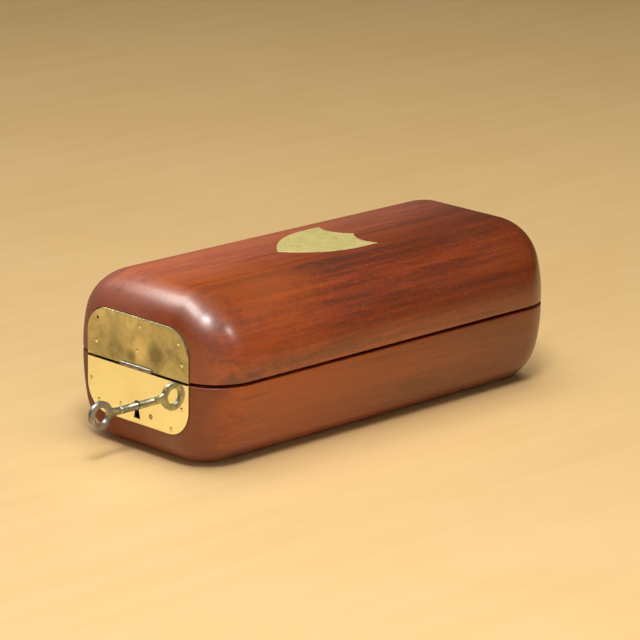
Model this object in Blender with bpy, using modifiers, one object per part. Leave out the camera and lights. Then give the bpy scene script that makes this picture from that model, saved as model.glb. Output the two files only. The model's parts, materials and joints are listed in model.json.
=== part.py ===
"""A small marine chronometer in gimbals, in a carved mahogany case with brass end plates and a box lock.

Frame: the origin is the centre of the case's flat underside, -Y is the lock end, +Y the hinge end, +Z up.
Units are metres. Each physical piece is one object. A moving piece has its origin on its joint's axis.
"""

import math

import bmesh
import bpy

# Driving dimensions of the case
CASE_WIDTH = 0.130
CASE_LENGTH = 0.290
CASE_HEIGHT = 0.102
SEAM_Z = 0.052
SEAM_GAP = 0.0009
PLAN_CORNER = 0.0283
CORNER_SHRINK = 0.4
CORNER_LEAST = 0.0039
# Each edge is a quarter ellipse: how far it comes in, and over what height, at the sides and at the ends
LID_SIDE, LID_END = (0.0369, 0.0470), (0.0244, 0.0231)
BASE_SIDE, BASE_END = (0.0291, 0.0504), (0.0192, 0.0231)

# The hollow inside, from the lock end to the hinge end
WELL_HALF_WIDTH = 0.0460
WELL_FRONT, WELL_BACK = -0.1210, 0.1330
WELL_FLOOR, WELL_ROOF = 0.0090, 0.0910
WELL_CORNER = 0.0160
LINING = 0.0020
LIP = 0.0034
GAP = 0.0003
LINE_HALF = WELL_HALF_WIDTH - GAP - LINING
LINE_FRONT, LINE_BACK = WELL_FRONT + GAP + LINING, WELL_BACK - GAP - LINING
LINE_FLOOR = WELL_FLOOR + 0.0018
DECK_Z = 0.0470
BAY_HALF = 0.0470
PARTITION = 0.0050

# End plates, lock and key
PLATE_HALF_WIDTH = 0.0433
PLATE_LOW, PLATE_HIGH = 0.0191, 0.0827
PLATE_CORNER = 0.0169
PLATE_THICK = 0.0020
PLATE_FACE = -CASE_LENGTH / 2 - 0.0002
KEY_Z = 0.0298
STAPLE_X = -0.0135
LOCK_HALF_WIDTH, LOCK_LOW, LOCK_HIGH = 0.0205, 0.0180, 0.0510
LOCK_FRONT, LOCK_BACK = -0.1429, -0.1308
LOCK_WALL = 0.0013
BOLT_Y = -0.1375
BOLT_LOW, BOLT_HIGH = 0.0400, 0.0450

# Hinges
HINGE_Y = CASE_LENGTH / 2 + 0.0023
HINGE_X = 0.0210
HINGE_LENGTH = 0.0260
KNUCKLE = 0.0020

# Gimbals and chronometer. Heights with "lift" are measured from the gimbal centre.
GIMBAL_Z = 0.0500
RING_INNER, RING_OUTER, RING_HALF_HEIGHT = 0.0343, 0.0375, 0.0030
BOWL_RADIUS, BOWL_WALL = 0.0310, 0.0016
BOWL_TOP, BOWL_SHOULDER, BOWL_BOTTOM = 0.0090, -0.0100, -0.0230
BOWL_FLAT = 0.0180
PIVOT, PIVOT_HOLE = 0.0010, 0.0014
DIAL_LIFT, DIAL_THICK, DIAL_RADIUS = 0.0050, 0.0008, 0.0289
PILLAR_PLATE = (0.0016, 0.0034)
TOP_PLATE = (-0.0120, -0.0102)
SECONDS_Y, RESERVE_Y = -0.0140, 0.0140
FUSEE_AT, BARREL_AT = (-0.0086, 0.0066), (0.0105, 0.0066)
THIRD_AT, ESCAPE_AT = (-0.0053, -0.0079), (0.0069, -0.0115)
HOUR_ANGLE, MINUTE_ANGLE = 305.0, 60.0

COARSE, FINE = 24, 32

FACE_FRONT = (math.pi / 2, 0, 0)
FACE_SIDE = (math.pi / 2, 0, math.pi / 2)
ALONG_X = (0, math.pi / 2, 0)


def clear_scene():
    for obj in list(bpy.data.objects):
        bpy.data.objects.remove(obj)


def collection(name):
    made = bpy.data.collections.new(name)
    bpy.context.scene.collection.children.link(made)
    return made


def material(name, colour, metallic, roughness):
    made = bpy.data.materials.new(name)
    made.use_nodes = True
    shader = made.node_tree.nodes["Principled BSDF"]
    shader.inputs["Base Color"].default_value = (*colour, 1)
    shader.inputs["Metallic"].default_value = metallic
    shader.inputs["Roughness"].default_value = roughness
    return made


clear_scene()
PARTS = collection("marine_chronometer")
CUTTERS = collection("cutters")
MAHOGANY = material("mahogany", (0.27, 0.055, 0.018), 0.0, 0.28)
BRASS = material("polished_brass", (0.80, 0.55, 0.20), 1.0, 0.18)
OLD_BRASS = material("tarnished_brass", (0.42, 0.31, 0.11), 1.0, 0.42)
STEEL = material("worn_steel", (0.36, 0.35, 0.33), 1.0, 0.40)
BLUED = material("blued_steel", (0.03, 0.05, 0.16), 1.0, 0.25)
SILVERED = material("silvered_dial", (0.78, 0.77, 0.72), 0.3, 0.45)
VELVET = material("velvet", (0.02, 0.05, 0.035), 0.0, 0.95)
GLASS = material("crystal_glass", (0.9, 0.95, 0.95), 0.0, 0.02)


def keep(obj, finish, place=(0, 0, 0), turn=(0, 0, 0)):
    """Puts a finished object in the collection, with its material and its place."""
    for owner in list(obj.users_collection):
        owner.objects.unlink(obj)
    PARTS.objects.link(obj)
    obj.data.materials.clear()
    obj.data.materials.append(finish)
    obj.location = place
    obj.rotation_euler = turn
    if obj.type == "MESH":
        obj.data.shade_smooth()
        obj.data.set_sharp_from_angle(angle=math.radians(35))
    return obj


def helper(obj):
    """Makes an object a cutter: Booleans use it, and it isn't part of the model."""
    for owner in list(obj.users_collection):
        owner.objects.unlink(obj)
    CUTTERS.objects.link(obj)
    obj.hide_render = True
    obj.display_type = "WIRE"
    return obj


def combine(target, others, operation):
    for other in others:
        modifier = target.modifiers.new(operation.lower() + "_" + other.name, "BOOLEAN")
        modifier.solver = "EXACT"
        modifier.operation = operation
        modifier.object = helper(other)
    return target


def join(target, *others):
    return combine(target, others, "UNION")


def cut(target, *others):
    return combine(target, others, "DIFFERENCE")


def from_bmesh(name, shape):
    mesh = bpy.data.meshes.new(name)
    shape.to_mesh(mesh)
    shape.free()
    obj = bpy.data.objects.new(name, mesh)
    bpy.context.scene.collection.objects.link(obj)
    return obj


def block(name, low, high):
    """A box between two corners, its origin at its centre."""
    size = [b - a for a, b in zip(low, high)]
    bpy.ops.mesh.primitive_cube_add(size=1)
    obj = bpy.context.object
    obj.name = name
    obj.data.transform(obj.matrix_world)
    for vertex in obj.data.vertices:
        vertex.co = [c * s for c, s in zip(vertex.co, size)]
    obj.location = [(a + b) / 2 for a, b in zip(low, high)]
    return obj


def rod(name, start, length, radius, turn=(0, 0, 0), sides=COARSE):
    """A cylinder from a point along local +Z, then turned."""
    shape = bmesh.new()
    bmesh.ops.create_cone(
        shape, cap_ends=True, segments=sides, radius1=radius, radius2=radius, depth=length
    )
    bmesh.ops.translate(shape, vec=(0, 0, length / 2), verts=shape.verts)
    obj = from_bmesh(name, shape)
    obj.location = start
    obj.rotation_euler = turn
    return obj


def turned(name, profile, sides=COARSE):
    """A turned piece round local Z. The profile is (radius, height) down the outer side. It is closed into a
    ring unless it starts and ends on the axis."""
    mesh = bpy.data.meshes.new(name)
    edges = [(i, i + 1) for i in range(len(profile) - 1)]
    if profile[0][0] or profile[-1][0]:
        edges.append((len(profile) - 1, 0))
    mesh.from_pydata([(r, 0, z) for r, z in profile], edges, [])
    obj = bpy.data.objects.new(name, mesh)
    bpy.context.scene.collection.objects.link(obj)
    lathe = obj.modifiers.new("lathe", "SCREW")
    lathe.steps = sides
    lathe.render_steps = sides
    lathe.use_merge_vertices = True
    lathe.merge_threshold = 0.00001
    return obj


def flat(name, outlines, thickness):
    """A flat plate from closed outlines in local XY, the later ones being holes, thickness centred on z = 0."""
    curve = bpy.data.curves.new(name, "CURVE")
    curve.dimensions = "2D"
    curve.fill_mode = "BOTH"
    curve.extrude = thickness / 2
    for outline in outlines:
        spline = curve.splines.new("POLY")
        spline.points.add(len(outline) - 1)
        for point, (x, y) in zip(spline.points, outline):
            point.co = (x, y, 0, 1)
        spline.use_cyclic_u = True
    drawn = bpy.data.objects.new(name + "_outline", curve)
    bpy.context.scene.collection.objects.link(drawn)
    graph = bpy.context.evaluated_depsgraph_get()
    mesh = bpy.data.meshes.new_from_object(drawn.evaluated_get(graph))
    shape = bmesh.new()
    shape.from_mesh(mesh)
    bmesh.ops.remove_doubles(shape, verts=shape.verts, dist=0.000002)
    bmesh.ops.recalc_face_normals(shape, faces=shape.faces)
    shape.to_mesh(mesh)
    shape.free()
    obj = bpy.data.objects.new(name, mesh)
    bpy.context.scene.collection.objects.link(obj)
    obj.matrix_world = drawn.matrix_world
    bpy.data.objects.remove(drawn)
    return obj


def circle(radius, centre=(0, 0), sides=COARSE):
    steps = [2 * math.pi * i / sides for i in range(sides)]
    return [(centre[0] + radius * math.cos(a), centre[1] + radius * math.sin(a)) for a in steps]


def arc(centre, radius, start, end, steps):
    """Points on an arc, angles in degrees."""
    angles = [math.radians(start + (end - start) * i / steps) for i in range(steps + 1)]
    return [(centre[0] + radius * math.cos(a), centre[1] + radius * math.sin(a)) for a in angles]


def bezier(a, b, c, d, steps):
    """Points on a cubic curve, without its last point."""
    points = []
    for i in range(steps):
        t = i / steps
        weights = ((1 - t) ** 3, 3 * t * (1 - t) ** 2, 3 * t * t * (1 - t), t**3)
        points.append(tuple(sum(w * p[k] for w, p in zip(weights, (a, b, c, d))) for k in (0, 1)))
    return points


def rounded_rectangle(half_x, half_y, radius, steps=6, centre_y=0.0):
    corners = ((1, 1, 0), (-1, 1, 90), (-1, -1, 180), (1, -1, 270))
    points = []
    for sx, sy, start in corners:
        centre = (sx * (half_x - radius), centre_y + sy * (half_y - radius))
        points += arc(centre, radius, start, start + 90, steps)
    return points


def loft(name, sections):
    """A closed body through (height, outline) sections of equal point counts, bottom to top."""
    shape = bmesh.new()
    rings = [[shape.verts.new((x, y, z)) for x, y in outline] for z, outline in sections]
    for low, high in zip(rings, rings[1:]):
        for i in range(len(low)):
            j = (i + 1) % len(low)
            shape.faces.new((low[i], low[j], high[j], high[i]))
    shape.faces.new(list(reversed(rings[0])))
    shape.faces.new(rings[-1])
    return from_bmesh(name, shape)


def edge_inset(edge, rise):
    """How far a quarter-ellipse edge has come in, this far up its height."""
    depth, height = edge
    along = min(max(rise / height, 0.0), 1.0)
    return depth * (1 - math.sqrt(1 - along * along))


def case_section(side, end, distance, steps=6):
    """The case's outline at a distance from the seam, with the corner radius falling as the edges come in."""
    total = CASE_HEIGHT - SEAM_Z if side is LID_SIDE else SEAM_Z
    in_x = edge_inset(side, distance - (total - side[1]))
    in_y = edge_inset(end, distance - (total - end[1]))
    radius = max(PLAN_CORNER - CORNER_SHRINK * (in_x + in_y), CORNER_LEAST)
    return rounded_rectangle(CASE_WIDTH / 2 - in_x, CASE_LENGTH / 2 - in_y, radius, steps)


def case_distances(side, total, levels=9):
    """Heights from the seam, close together where the edge turns fastest."""
    start = total - side[1]
    angles = [math.pi / 2 * i / levels for i in range(levels + 1)]
    return [SEAM_GAP / 2] + [start + side[1] * math.sin(a) for a in angles]


def well(name, half_width, front, back, low, high, corner):
    """An upright hollow's volume, with rounded corners in plan."""
    outline = rounded_rectangle(half_width, (back - front) / 2, corner, 5, (front + back) / 2)
    return loft(name, [(low, outline), (high, outline)])


def plate_outline(low, high, round_low, grow=0.0, steps=6):
    """One end plate's outline in x and z: square corners at the seam, large round ones at the other edge."""
    half, radius = PLATE_HALF_WIDTH + grow, PLATE_CORNER + grow
    low, high = low - grow, high + grow
    if round_low:
        points = arc((-half + radius, low + radius), radius, 180, 270, steps)
        points += arc((half - radius, low + radius), radius, 270, 360, steps)
        return points + [(half, high), (-half, high)]
    points = [(-half, low), (half, low)]
    points += arc((half - radius, high - radius), radius, 0, 90, steps)
    return points + arc((-half + radius, high - radius), radius, 90, 180, steps)


def keyhole_outline():
    """A round hole with a slot that widens towards its foot, in x and z."""
    radius, rise, neck, foot, foot_z = 0.0029, 0.0004, 0.0015, 0.0028, 0.0223
    lean = math.degrees(math.asin(neck / radius))
    return arc((0, KEY_Z + rise), radius, 270 + lean - 360, 270 - lean, 14) + [(-foot, foot_z), (foot, foot_z)]


def shield_outline(grow=0.0):
    """Half the shield as curves, mirrored: a heater shield with three spikes on its far edge."""
    tip, shoulder = (0.0, -0.0343), (0.0250, 0.0100)
    spike, middle = (0.0251, 0.0244), (0.0, 0.0292)
    half = bezier(tip, (0.014, -0.024), (0.025, -0.008), shoulder, 8) + [shoulder]
    half += bezier(spike, (0.019, 0.0203), (0.008, 0.0208), middle, 8) + [middle]
    points = half + [(-x, y) for x, y in reversed(half[1:-1])]
    scale = 1 + grow / 0.028
    return [(x * scale, y * scale) for x, y in points]


# The case


def lower_case():
    total = SEAM_Z
    distances = case_distances(BASE_SIDE, total)
    sections = [(SEAM_Z - d, case_section(BASE_SIDE, BASE_END, d)) for d in reversed(distances)]
    body = loft("lower_case", sections)
    hollow = well("well_cut", WELL_HALF_WIDTH, WELL_FRONT, WELL_BACK, WELL_FLOOR, 0.070, WELL_CORNER)
    seat = flat("lock_plate_seat", [plate_outline(PLATE_LOW, SEAM_Z + 0.01, True, GAP)], 0.0060)
    seat.location = (0, PLATE_FACE + PLATE_THICK + GAP - 0.0030, 0)
    seat.rotation_euler = FACE_FRONT
    mortise = block(
        "lock_mortise",
        (-LOCK_HALF_WIDTH - 0.0004, LOCK_FRONT - 0.0010, LOCK_LOW - 0.0004),
        (LOCK_HALF_WIDTH + 0.0004, LOCK_BACK + 0.0004, 0.070),
    )
    recesses = [leaf_recess(side, SEAM_Z - 0.0020, 0.070) for side in (-1, 1)]
    return keep(cut(body, hollow, seat, mortise, *recesses), MAHOGANY)


def lid():
    total = CASE_HEIGHT - SEAM_Z
    distances = case_distances(LID_SIDE, total)
    body = loft("lid", [(SEAM_Z + d, case_section(LID_SIDE, LID_END, d)) for d in distances])
    hollow = well(
        "lid_well_cut", WELL_HALF_WIDTH + 0.0004, WELL_FRONT - 0.0006, WELL_BACK + 0.0006, 0.040, WELL_ROOF,
        WELL_CORNER,
    )
    seat = flat("catch_plate_seat", [plate_outline(SEAM_Z - 0.01, PLATE_HIGH, False, GAP)], 0.0060)
    seat.location = (0, PLATE_FACE + PLATE_THICK + GAP - 0.0030, 0)
    seat.rotation_euler = FACE_FRONT
    inlay = flat("shield_seat", [shield_outline(GAP)], 0.0040)
    inlay.location = (0, 0, CASE_HEIGHT - 0.0015 + 0.0020)
    recesses = [leaf_recess(side, 0.040, SEAM_Z + 0.0020) for side in (-1, 1)]
    link_room = block("staple_room", (-0.0170, -0.1434, 0.040), (-0.0100, -0.1320, SEAM_Z + 0.0024))
    return keep(cut(body, hollow, seat, inlay, link_room, *recesses), MAHOGANY)


def leaf_recess(side, low, high):
    """Room in the rim for one hinge leaf."""
    half = HINGE_LENGTH / 2 + GAP
    name = "leaf_recess_" + ("left" if side < 0 else "right") + ("_upper" if low < SEAM_Z - 0.005 else "")
    return block(
        name,
        (side * HINGE_X - half, HINGE_Y - 0.0123, low),
        (side * HINGE_X + half, CASE_LENGTH / 2 + 0.01, high),
    )


def end_plates():
    middle = SEAM_GAP / 2
    lock = flat(
        "lock_plate", [plate_outline(PLATE_LOW, SEAM_Z - middle, True), keyhole_outline()], PLATE_THICK
    )
    catch = flat("catch_plate", [plate_outline(SEAM_Z + middle, PLATE_HIGH, False)], PLATE_THICK)
    for obj, finish in ((lock, BRASS), (catch, OLD_BRASS)):
        keep(obj, finish, (0, PLATE_FACE + PLATE_THICK / 2, 0), FACE_FRONT)


def thumb_lip():
    """A half-round bar, its flat side on the catch plate."""
    radius = 0.0013
    bar = flat("thumb_lip", [arc((0, 0), radius, -90, 90, 8)], 0.0270)
    keep(bar, STEEL, (-0.0005, PLATE_FACE - GAP, 0.0530), (-math.pi / 2, 0, -math.pi / 2))


def shield():
    keep(flat("shield", [shield_outline()], 0.0012), OLD_BRASS, (0, 0, CASE_HEIGHT - 0.0006))


def lining_and_wells():
    shell = well(
        "case_lining", LINE_HALF + LINING, LINE_FRONT - LINING, LINE_BACK + LINING, WELL_FLOOR + GAP,
        SEAM_Z + LIP, WELL_CORNER - GAP,
    )
    inside = well("lining_cut", LINE_HALF, LINE_FRONT, LINE_BACK, LINE_FLOOR, 0.070, WELL_CORNER - LINING)
    keep(cut(shell, inside), VELVET)
    panel = well("lid_lining", 0.0380, -0.112, 0.124, WELL_ROOF - 0.0018, WELL_ROOF - GAP, 0.010)
    keep(panel, VELVET)
    reach = LINE_HALF - GAP
    floor = LINE_FLOOR + GAP
    front = block("front_partition", (-reach, -BAY_HALF - PARTITION, floor), (reach, -BAY_HALF, DECK_Z))
    rear = block("rear_partition", (-reach, BAY_HALF, floor), (reach, BAY_HALF + PARTITION, DECK_Z))
    keep(front, MAHOGANY, front.location)
    keep(rear, MAHOGANY, rear.location)
    corner = WELL_CORNER - LINING - GAP
    near = -BAY_HALF - PARTITION - GAP
    tray = well("front_tray", reach, LINE_FRONT + GAP, near, floor, 0.0400, corner)
    pocket = well("key_pocket", 0.0330, -0.1000, -0.0700, 0.0290, 0.0600, 0.006)
    keep(cut(tray, pocket), VELVET)
    far = BAY_HALF + PARTITION + GAP
    tray = well("rear_tray", reach, far, LINE_BACK - GAP, floor, 0.0400, corner)
    pocket = well("spares_pocket", 0.0360, far + 0.007, LINE_BACK - 0.0075, 0.0160, 0.0600, 0.008)
    keep(cut(tray, pocket), VELVET)


# The lock


def lock_case():
    body = block(
        "lock_case", (-LOCK_HALF_WIDTH, LOCK_FRONT, LOCK_LOW), (LOCK_HALF_WIDTH, LOCK_BACK, LOCK_HIGH)
    )
    inside = block(
        "lock_inside",
        (-LOCK_HALF_WIDTH + LOCK_WALL, LOCK_FRONT - 0.01, LOCK_LOW + LOCK_WALL),
        (LOCK_HALF_WIDTH - LOCK_WALL, LOCK_BACK - LOCK_WALL, LOCK_HIGH - LOCK_WALL),
    )
    slot = block(
        "link_slot", (STAPLE_X - 0.0024, -0.1424, LOCK_HIGH - 0.004), (STAPLE_X + 0.0024, -0.1326, 0.060)
    )
    keep(cut(body, inside, slot), BRASS, body.location)


def lock_bolt():
    """A bar above the key with a leg that the key's bit pushes aside."""
    half = 0.0025
    bar = block("lock_bolt", (STAPLE_X + 0.0018, BOLT_Y - half, BOLT_LOW), (0.0080, BOLT_Y + half, BOLT_HIGH))
    leg = block("bolt_leg", (-0.0051, BOLT_Y - half, 0.0245), (-0.0031, BOLT_Y + 0.0015, BOLT_LOW + 0.002))
    keep(join(bar, leg), STEEL, bar.location)


def bolt_spring():
    """A leaf spring held under the lock's roof, bearing on the bolt."""
    outline = [(-0.0040, 0.0453), (0.0165, 0.0480), (0.0165, 0.0494), (0.0145, 0.0494), (-0.0040, 0.0458)]
    keep(flat("bolt_spring", [outline], 0.0040), STEEL, (0, BOLT_Y, 0), FACE_FRONT)


def drill_pin():
    profile = [(0, 0.0076), (0.0007, 0.0076), (0.00095, 0.0070), (0.00095, 0.0010), (0.0022, 0.0010),
               (0.0022, 0), (0, 0)]
    keep(turned("drill_pin", profile, 12), STEEL, (0, LOCK_BACK - LOCK_WALL - GAP, KEY_Z), FACE_FRONT)


def key():
    """A pipe key: flat ring bow flaring out of a flat neck, shank with a bore for the drill pin, hanging bit."""
    profile = [
        (0, 0.0128), (0.0018, 0.0128), (0.0023, 0.0122), (0.0023, -0.0105), (0.0013, -0.0105),
        (0.0013, -0.0040), (0, -0.0040),
    ]
    shank = turned("key", profile, 16)
    neck = [(0.0024, -0.0178), (0.0019, -0.0156), (0.0019, -0.0118)]
    outline = arc((0, -0.0277), 0.0085, 114, 426, 26) + neck + [(-x, y) for x, y in reversed(neck)]
    bow = flat("key_bow", [outline, circle(0.0047, (0, -0.0277), 20)], 0.0026)
    bow.rotation_euler = ALONG_X
    bow.location = (0, PLATE_FACE, KEY_Z)
    bit = block("key_bit", (-0.0010, -0.1415, KEY_Z - 0.0073), (0.0010, -0.1360, KEY_Z - 0.0015))
    keep(join(shank, bow, bit), STEEL, (0, -CASE_LENGTH / 2, KEY_Z), FACE_FRONT)


def catch_staple():
    """The link that hangs from the catch plate into the lock."""
    low, high, half, hole = 0.0382, SEAM_Z + 0.0020, 0.0043, 0.0029
    ring = [(-half, low), (half, low), (half, high), (-half, high)]
    opening = [(-hole, BOLT_LOW - 0.0003), (hole, BOLT_LOW - 0.0003), (hole, 0.0453), (-hole, 0.0453)]
    keep(flat("catch_staple", [ring, opening], 0.0026), STEEL, (STAPLE_X, BOLT_Y, 0), FACE_SIDE)


# The hinges


def leaf(name, low, left, right, knuckles):
    """A flat leaf in the rim with a tab out to each of its knuckles, all on one bore for the pin."""
    thick, inset, rim = 0.0012, 0.0002, CASE_LENGTH / 2 - 0.0001
    outline = [(left, HINGE_Y - 0.0120), (right, HINGE_Y - 0.0120), (right, rim)]
    barrels = []
    for number, (start, length) in enumerate(reversed(knuckles)):
        outline += [(start + length - inset, rim), (start + length - inset, HINGE_Y - 0.0002)]
        outline += [(start + inset, HINGE_Y - 0.0002), (start + inset, rim)]
        barrels.append(rod(f"{name}_knuckle_{number}", (start, HINGE_Y, SEAM_Z), length, KNUCKLE, ALONG_X, 16))
    plate = flat(name, [outline + [(left, rim)]], thick)
    plate.location = (0, 0, low + thick / 2)
    bore = rod(f"{name}_bore", (left - 0.001, HINGE_Y, SEAM_Z), HINGE_LENGTH + 0.002, 0.0011, ALONG_X, 16)
    return cut(join(plate, *barrels), bore)


def hinge(side, word):
    left, right = side * HINGE_X - HINGE_LENGTH / 2, side * HINGE_X + HINGE_LENGTH / 2
    third = HINGE_LENGTH / 3
    outer = [(left, third - GAP), (right - third + GAP, third - GAP)]
    low, high = SEAM_Z - SEAM_GAP / 2 - 0.0012, SEAM_Z + SEAM_GAP / 2
    lower = leaf(f"hinge_{word}_lower", low, left, right, outer)
    upper = leaf(f"hinge_{word}_upper", high, left, right, [(left + third, third)])
    keep(lower, BRASS, lower.location)
    keep(upper, BRASS, upper.location)
    pin = rod(f"hinge_{word}_pin", (0, 0, 0), HINGE_LENGTH, 0.0008, sides=12)
    keep(pin, STEEL, (left, HINGE_Y, SEAM_Z), ALONG_X)


# The gimbals


def gimbal_bracket(side, word):
    plate = block(
        f"gimbal_bracket_{word}", (0.0413, -0.0080, 0.0300), (LINE_HALF - GAP, 0.0080, 0.0545)
    )
    plate.location.x *= side
    hole = rod(f"bracket_hole_{word}", (side * 0.030, 0, GIMBAL_Z), 0.020, PIVOT_HOLE,
               (0, side * math.pi / 2, 0), 16)
    keep(cut(plate, hole), BRASS, plate.location)
    profile = [
        (0, 0.0433), (PIVOT, 0.0433), (PIVOT, 0.0410), (0.0026, 0.0410), (0.0026, 0.0389), (PIVOT, 0.0389),
        (PIVOT, 0.0354), (0, 0.0350),
    ]
    screw = turned(f"outer_pivot_{word}", profile, 16)
    keep(screw, BRASS, (0, 0, GIMBAL_Z), (0, side * math.pi / 2, 0))


def gimbal_ring():
    profile = [
        (RING_INNER, RING_HALF_HEIGHT), (RING_OUTER, RING_HALF_HEIGHT), (RING_OUTER, -RING_HALF_HEIGHT),
        (RING_INNER, -RING_HALF_HEIGHT),
    ]
    ring = turned("gimbal_ring", profile, FINE)
    ring.location = (0, 0, GIMBAL_Z)
    across = rod("ring_bore_x", (-0.050, 0, GIMBAL_Z), 0.100, PIVOT_HOLE, ALONG_X, 12)
    along = rod("ring_bore_y", (0, 0.050, GIMBAL_Z), 0.100, PIVOT_HOLE, FACE_FRONT, 12)
    keep(cut(ring, across, along), BRASS, ring.location)
    for side, word in ((-1, "front"), (1, "back")):
        profile = [
            (0, 0.0390), (0.0022, 0.0390), (0.0022, 0.0379), (PIVOT, 0.0379), (PIVOT, 0.0298), (0, 0.0294)
        ]
        screw = turned(f"inner_pivot_{word}", profile, 16)
        keep(screw, BRASS, (0, 0, GIMBAL_Z), (-side * math.pi / 2, 0, 0))


def bowl_wall(radius, flat_radius, bottom, top):
    """Down one side of the bowl: straight, then a quarter ellipse to the flat of the bottom."""
    width, depth = radius - flat_radius, BOWL_SHOULDER - bottom
    angles = [math.pi / 2 * i / 6 for i in range(7)]
    curve = [(flat_radius + width * math.cos(a), BOWL_SHOULDER - depth * math.sin(a)) for a in angles]
    return [(radius, top)] + curve + [(0, bottom)]


def bowl():
    inner = bowl_wall(BOWL_RADIUS - BOWL_WALL, BOWL_FLAT - BOWL_WALL, BOWL_BOTTOM + BOWL_WALL, BOWL_TOP)
    outer = bowl_wall(BOWL_RADIUS, BOWL_FLAT, BOWL_BOTTOM, BOWL_TOP)
    body = turned("bowl", list(reversed(inner)) + outer, FINE)
    body.location = (0, 0, GIMBAL_Z)
    bore = rod("bowl_bore", (0, 0.050, GIMBAL_Z), 0.100, PIVOT_HOLE, FACE_FRONT, 12)
    winding = rod("winding_bore", (*FUSEE_AT, GIMBAL_Z - 0.030), 0.014, 0.0030, sides=16)
    keep(cut(body, bore, winding), BRASS, body.location)


def bezel_and_crystal():
    profile = [
        (0.0272, 0.0120), (0.0303, 0.0120), (0.0312, 0.0113), (0.0314, 0.0093), (0.0289, 0.0093),
        (0.0289, 0.0113), (0.0272, 0.0116),
    ]
    keep(turned("bezel", profile, FINE), BRASS, (0, 0, GIMBAL_Z))
    keep(rod("crystal", (0, 0, 0), 0.0014, 0.0285, sides=FINE), GLASS, (0, 0, GIMBAL_Z + 0.0095))


def dial():
    holes = [circle(0.0012, sides=12), circle(0.0009, (0, SECONDS_Y), 12), circle(0.0009, (0, RESERVE_Y), 12)]
    face = flat("dial", [circle(DIAL_RADIUS, sides=FINE)] + holes, DIAL_THICK)
    keep(face, SILVERED, (0, 0, GIMBAL_Z + DIAL_LIFT + DIAL_THICK / 2))


def hand(name, length, width, tail, hub, hole, place, angle):
    """A spade hand pointing to +Y before it is turned clockwise by its angle, its origin on its arbor."""
    spread = math.degrees(math.asin(width / hub))
    blade = [
        (-width * 0.7, length * 0.62), (-width * 1.9, length * 0.72), (0, length),
        (width * 1.9, length * 0.72), (width * 0.7, length * 0.62),
    ]
    tail_points = [(width * 0.9, -tail), (-width * 0.9, -tail)]
    round_right = arc((0, 0), hub, 90 - spread, -90 + spread, 6)
    round_left = arc((0, 0), hub, 270 - spread, 90 + spread, 6)
    outlines = [blade + round_right + tail_points + round_left]
    if hole:
        outlines.append(circle(hole, sides=12))
    made = flat(name, outlines, 0.0003)
    keep(made, BLUED, (place[0], place[1], GIMBAL_Z + place[2]), (0, 0, -math.radians(angle)))


def hands():
    hand("hour_hand", 0.0150, 0.0008, 0.0034, 0.0022, 0.0010, (0, 0, 0.00705), HOUR_ANGLE)
    hand("minute_hand", 0.0225, 0.0006, 0.0050, 0.0018, 0, (0, 0, 0.00775), MINUTE_ANGLE)
    hand("seconds_hand", 0.0068, 0.0003, 0.0026, 0.0009, 0, (0, SECONDS_Y, 0.00635), 0)
    hand("reserve_hand", 0.0062, 0.0003, 0.0020, 0.0009, 0, (0, RESERVE_Y, 0.00635), -120)


# The movement, hung below the dial


def plates_and_pillars():
    low, high = PILLAR_PLATE
    holes = [circle(0.0012, at, 12) for at in ((0, 0), (0, SECONDS_Y))]
    plate = flat("pillar_plate", [circle(0.0280, sides=32)] + holes, high - low)
    keep(plate, BRASS, (0, 0, GIMBAL_Z + (low + high) / 2))
    low, high = TOP_PLATE
    plate = flat("top_plate", [circle(0.0265, sides=32), circle(0.0013, FUSEE_AT, 12)], high - low)
    keep(plate, BRASS, (0, 0, GIMBAL_Z + (low + high) / 2))
    bottom, height = TOP_PLATE[1] + GAP, PILLAR_PLATE[0] - TOP_PLATE[1] - 2 * GAP
    for number, angle in enumerate((55, 175, 295), 1):
        x, y = arc((0, 0), 0.0235, angle, angle, 1)[0]
        waist = 0.45 * height
        profile = [
            (0, height), (0.0018, height), (0.0018, height - 0.002), (0.0012, height - waist),
            (0.0018, 0.002), (0.0018, 0), (0, 0),
        ]
        keep(turned(f"pillar_{number}", profile, 12), BRASS, (x, y, GIMBAL_Z + bottom))


def poise_weight():
    """A curved block under the pillar plate, opposite the barrel, that balances the bowl in its gimbals."""
    middle, spread, inner, outer, height = 244.8, 28.0, 0.0206, 0.0272, 0.0058
    outline = arc((0, 0), outer, middle - spread, middle + spread, 8)
    outline += arc((0, 0), inner, middle + spread, middle - spread, 8)
    block_top = PILLAR_PLATE[0] - GAP
    keep(flat("poise_weight", [outline], height), BRASS, (0, 0, GIMBAL_Z + block_top - height / 2))


def wheel(name, at, arbor, pinion, rim):
    """A wheel, its pinion and its arbor in one piece. Each is a radius with a low and a high lift."""
    levels = sorted([rim, pinion], key=lambda part: part[1])
    radius, low, high = arbor
    profile = [(0, high), (radius, high)]
    for part_radius, part_low, part_high in reversed(levels):
        profile += [(radius, part_high), (part_radius, part_high), (part_radius, part_low), (radius, part_low)]
    profile += [(radius, low), (0, low)]
    keep(turned(name, profile, 18), BRASS, (*at, GIMBAL_Z))


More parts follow.
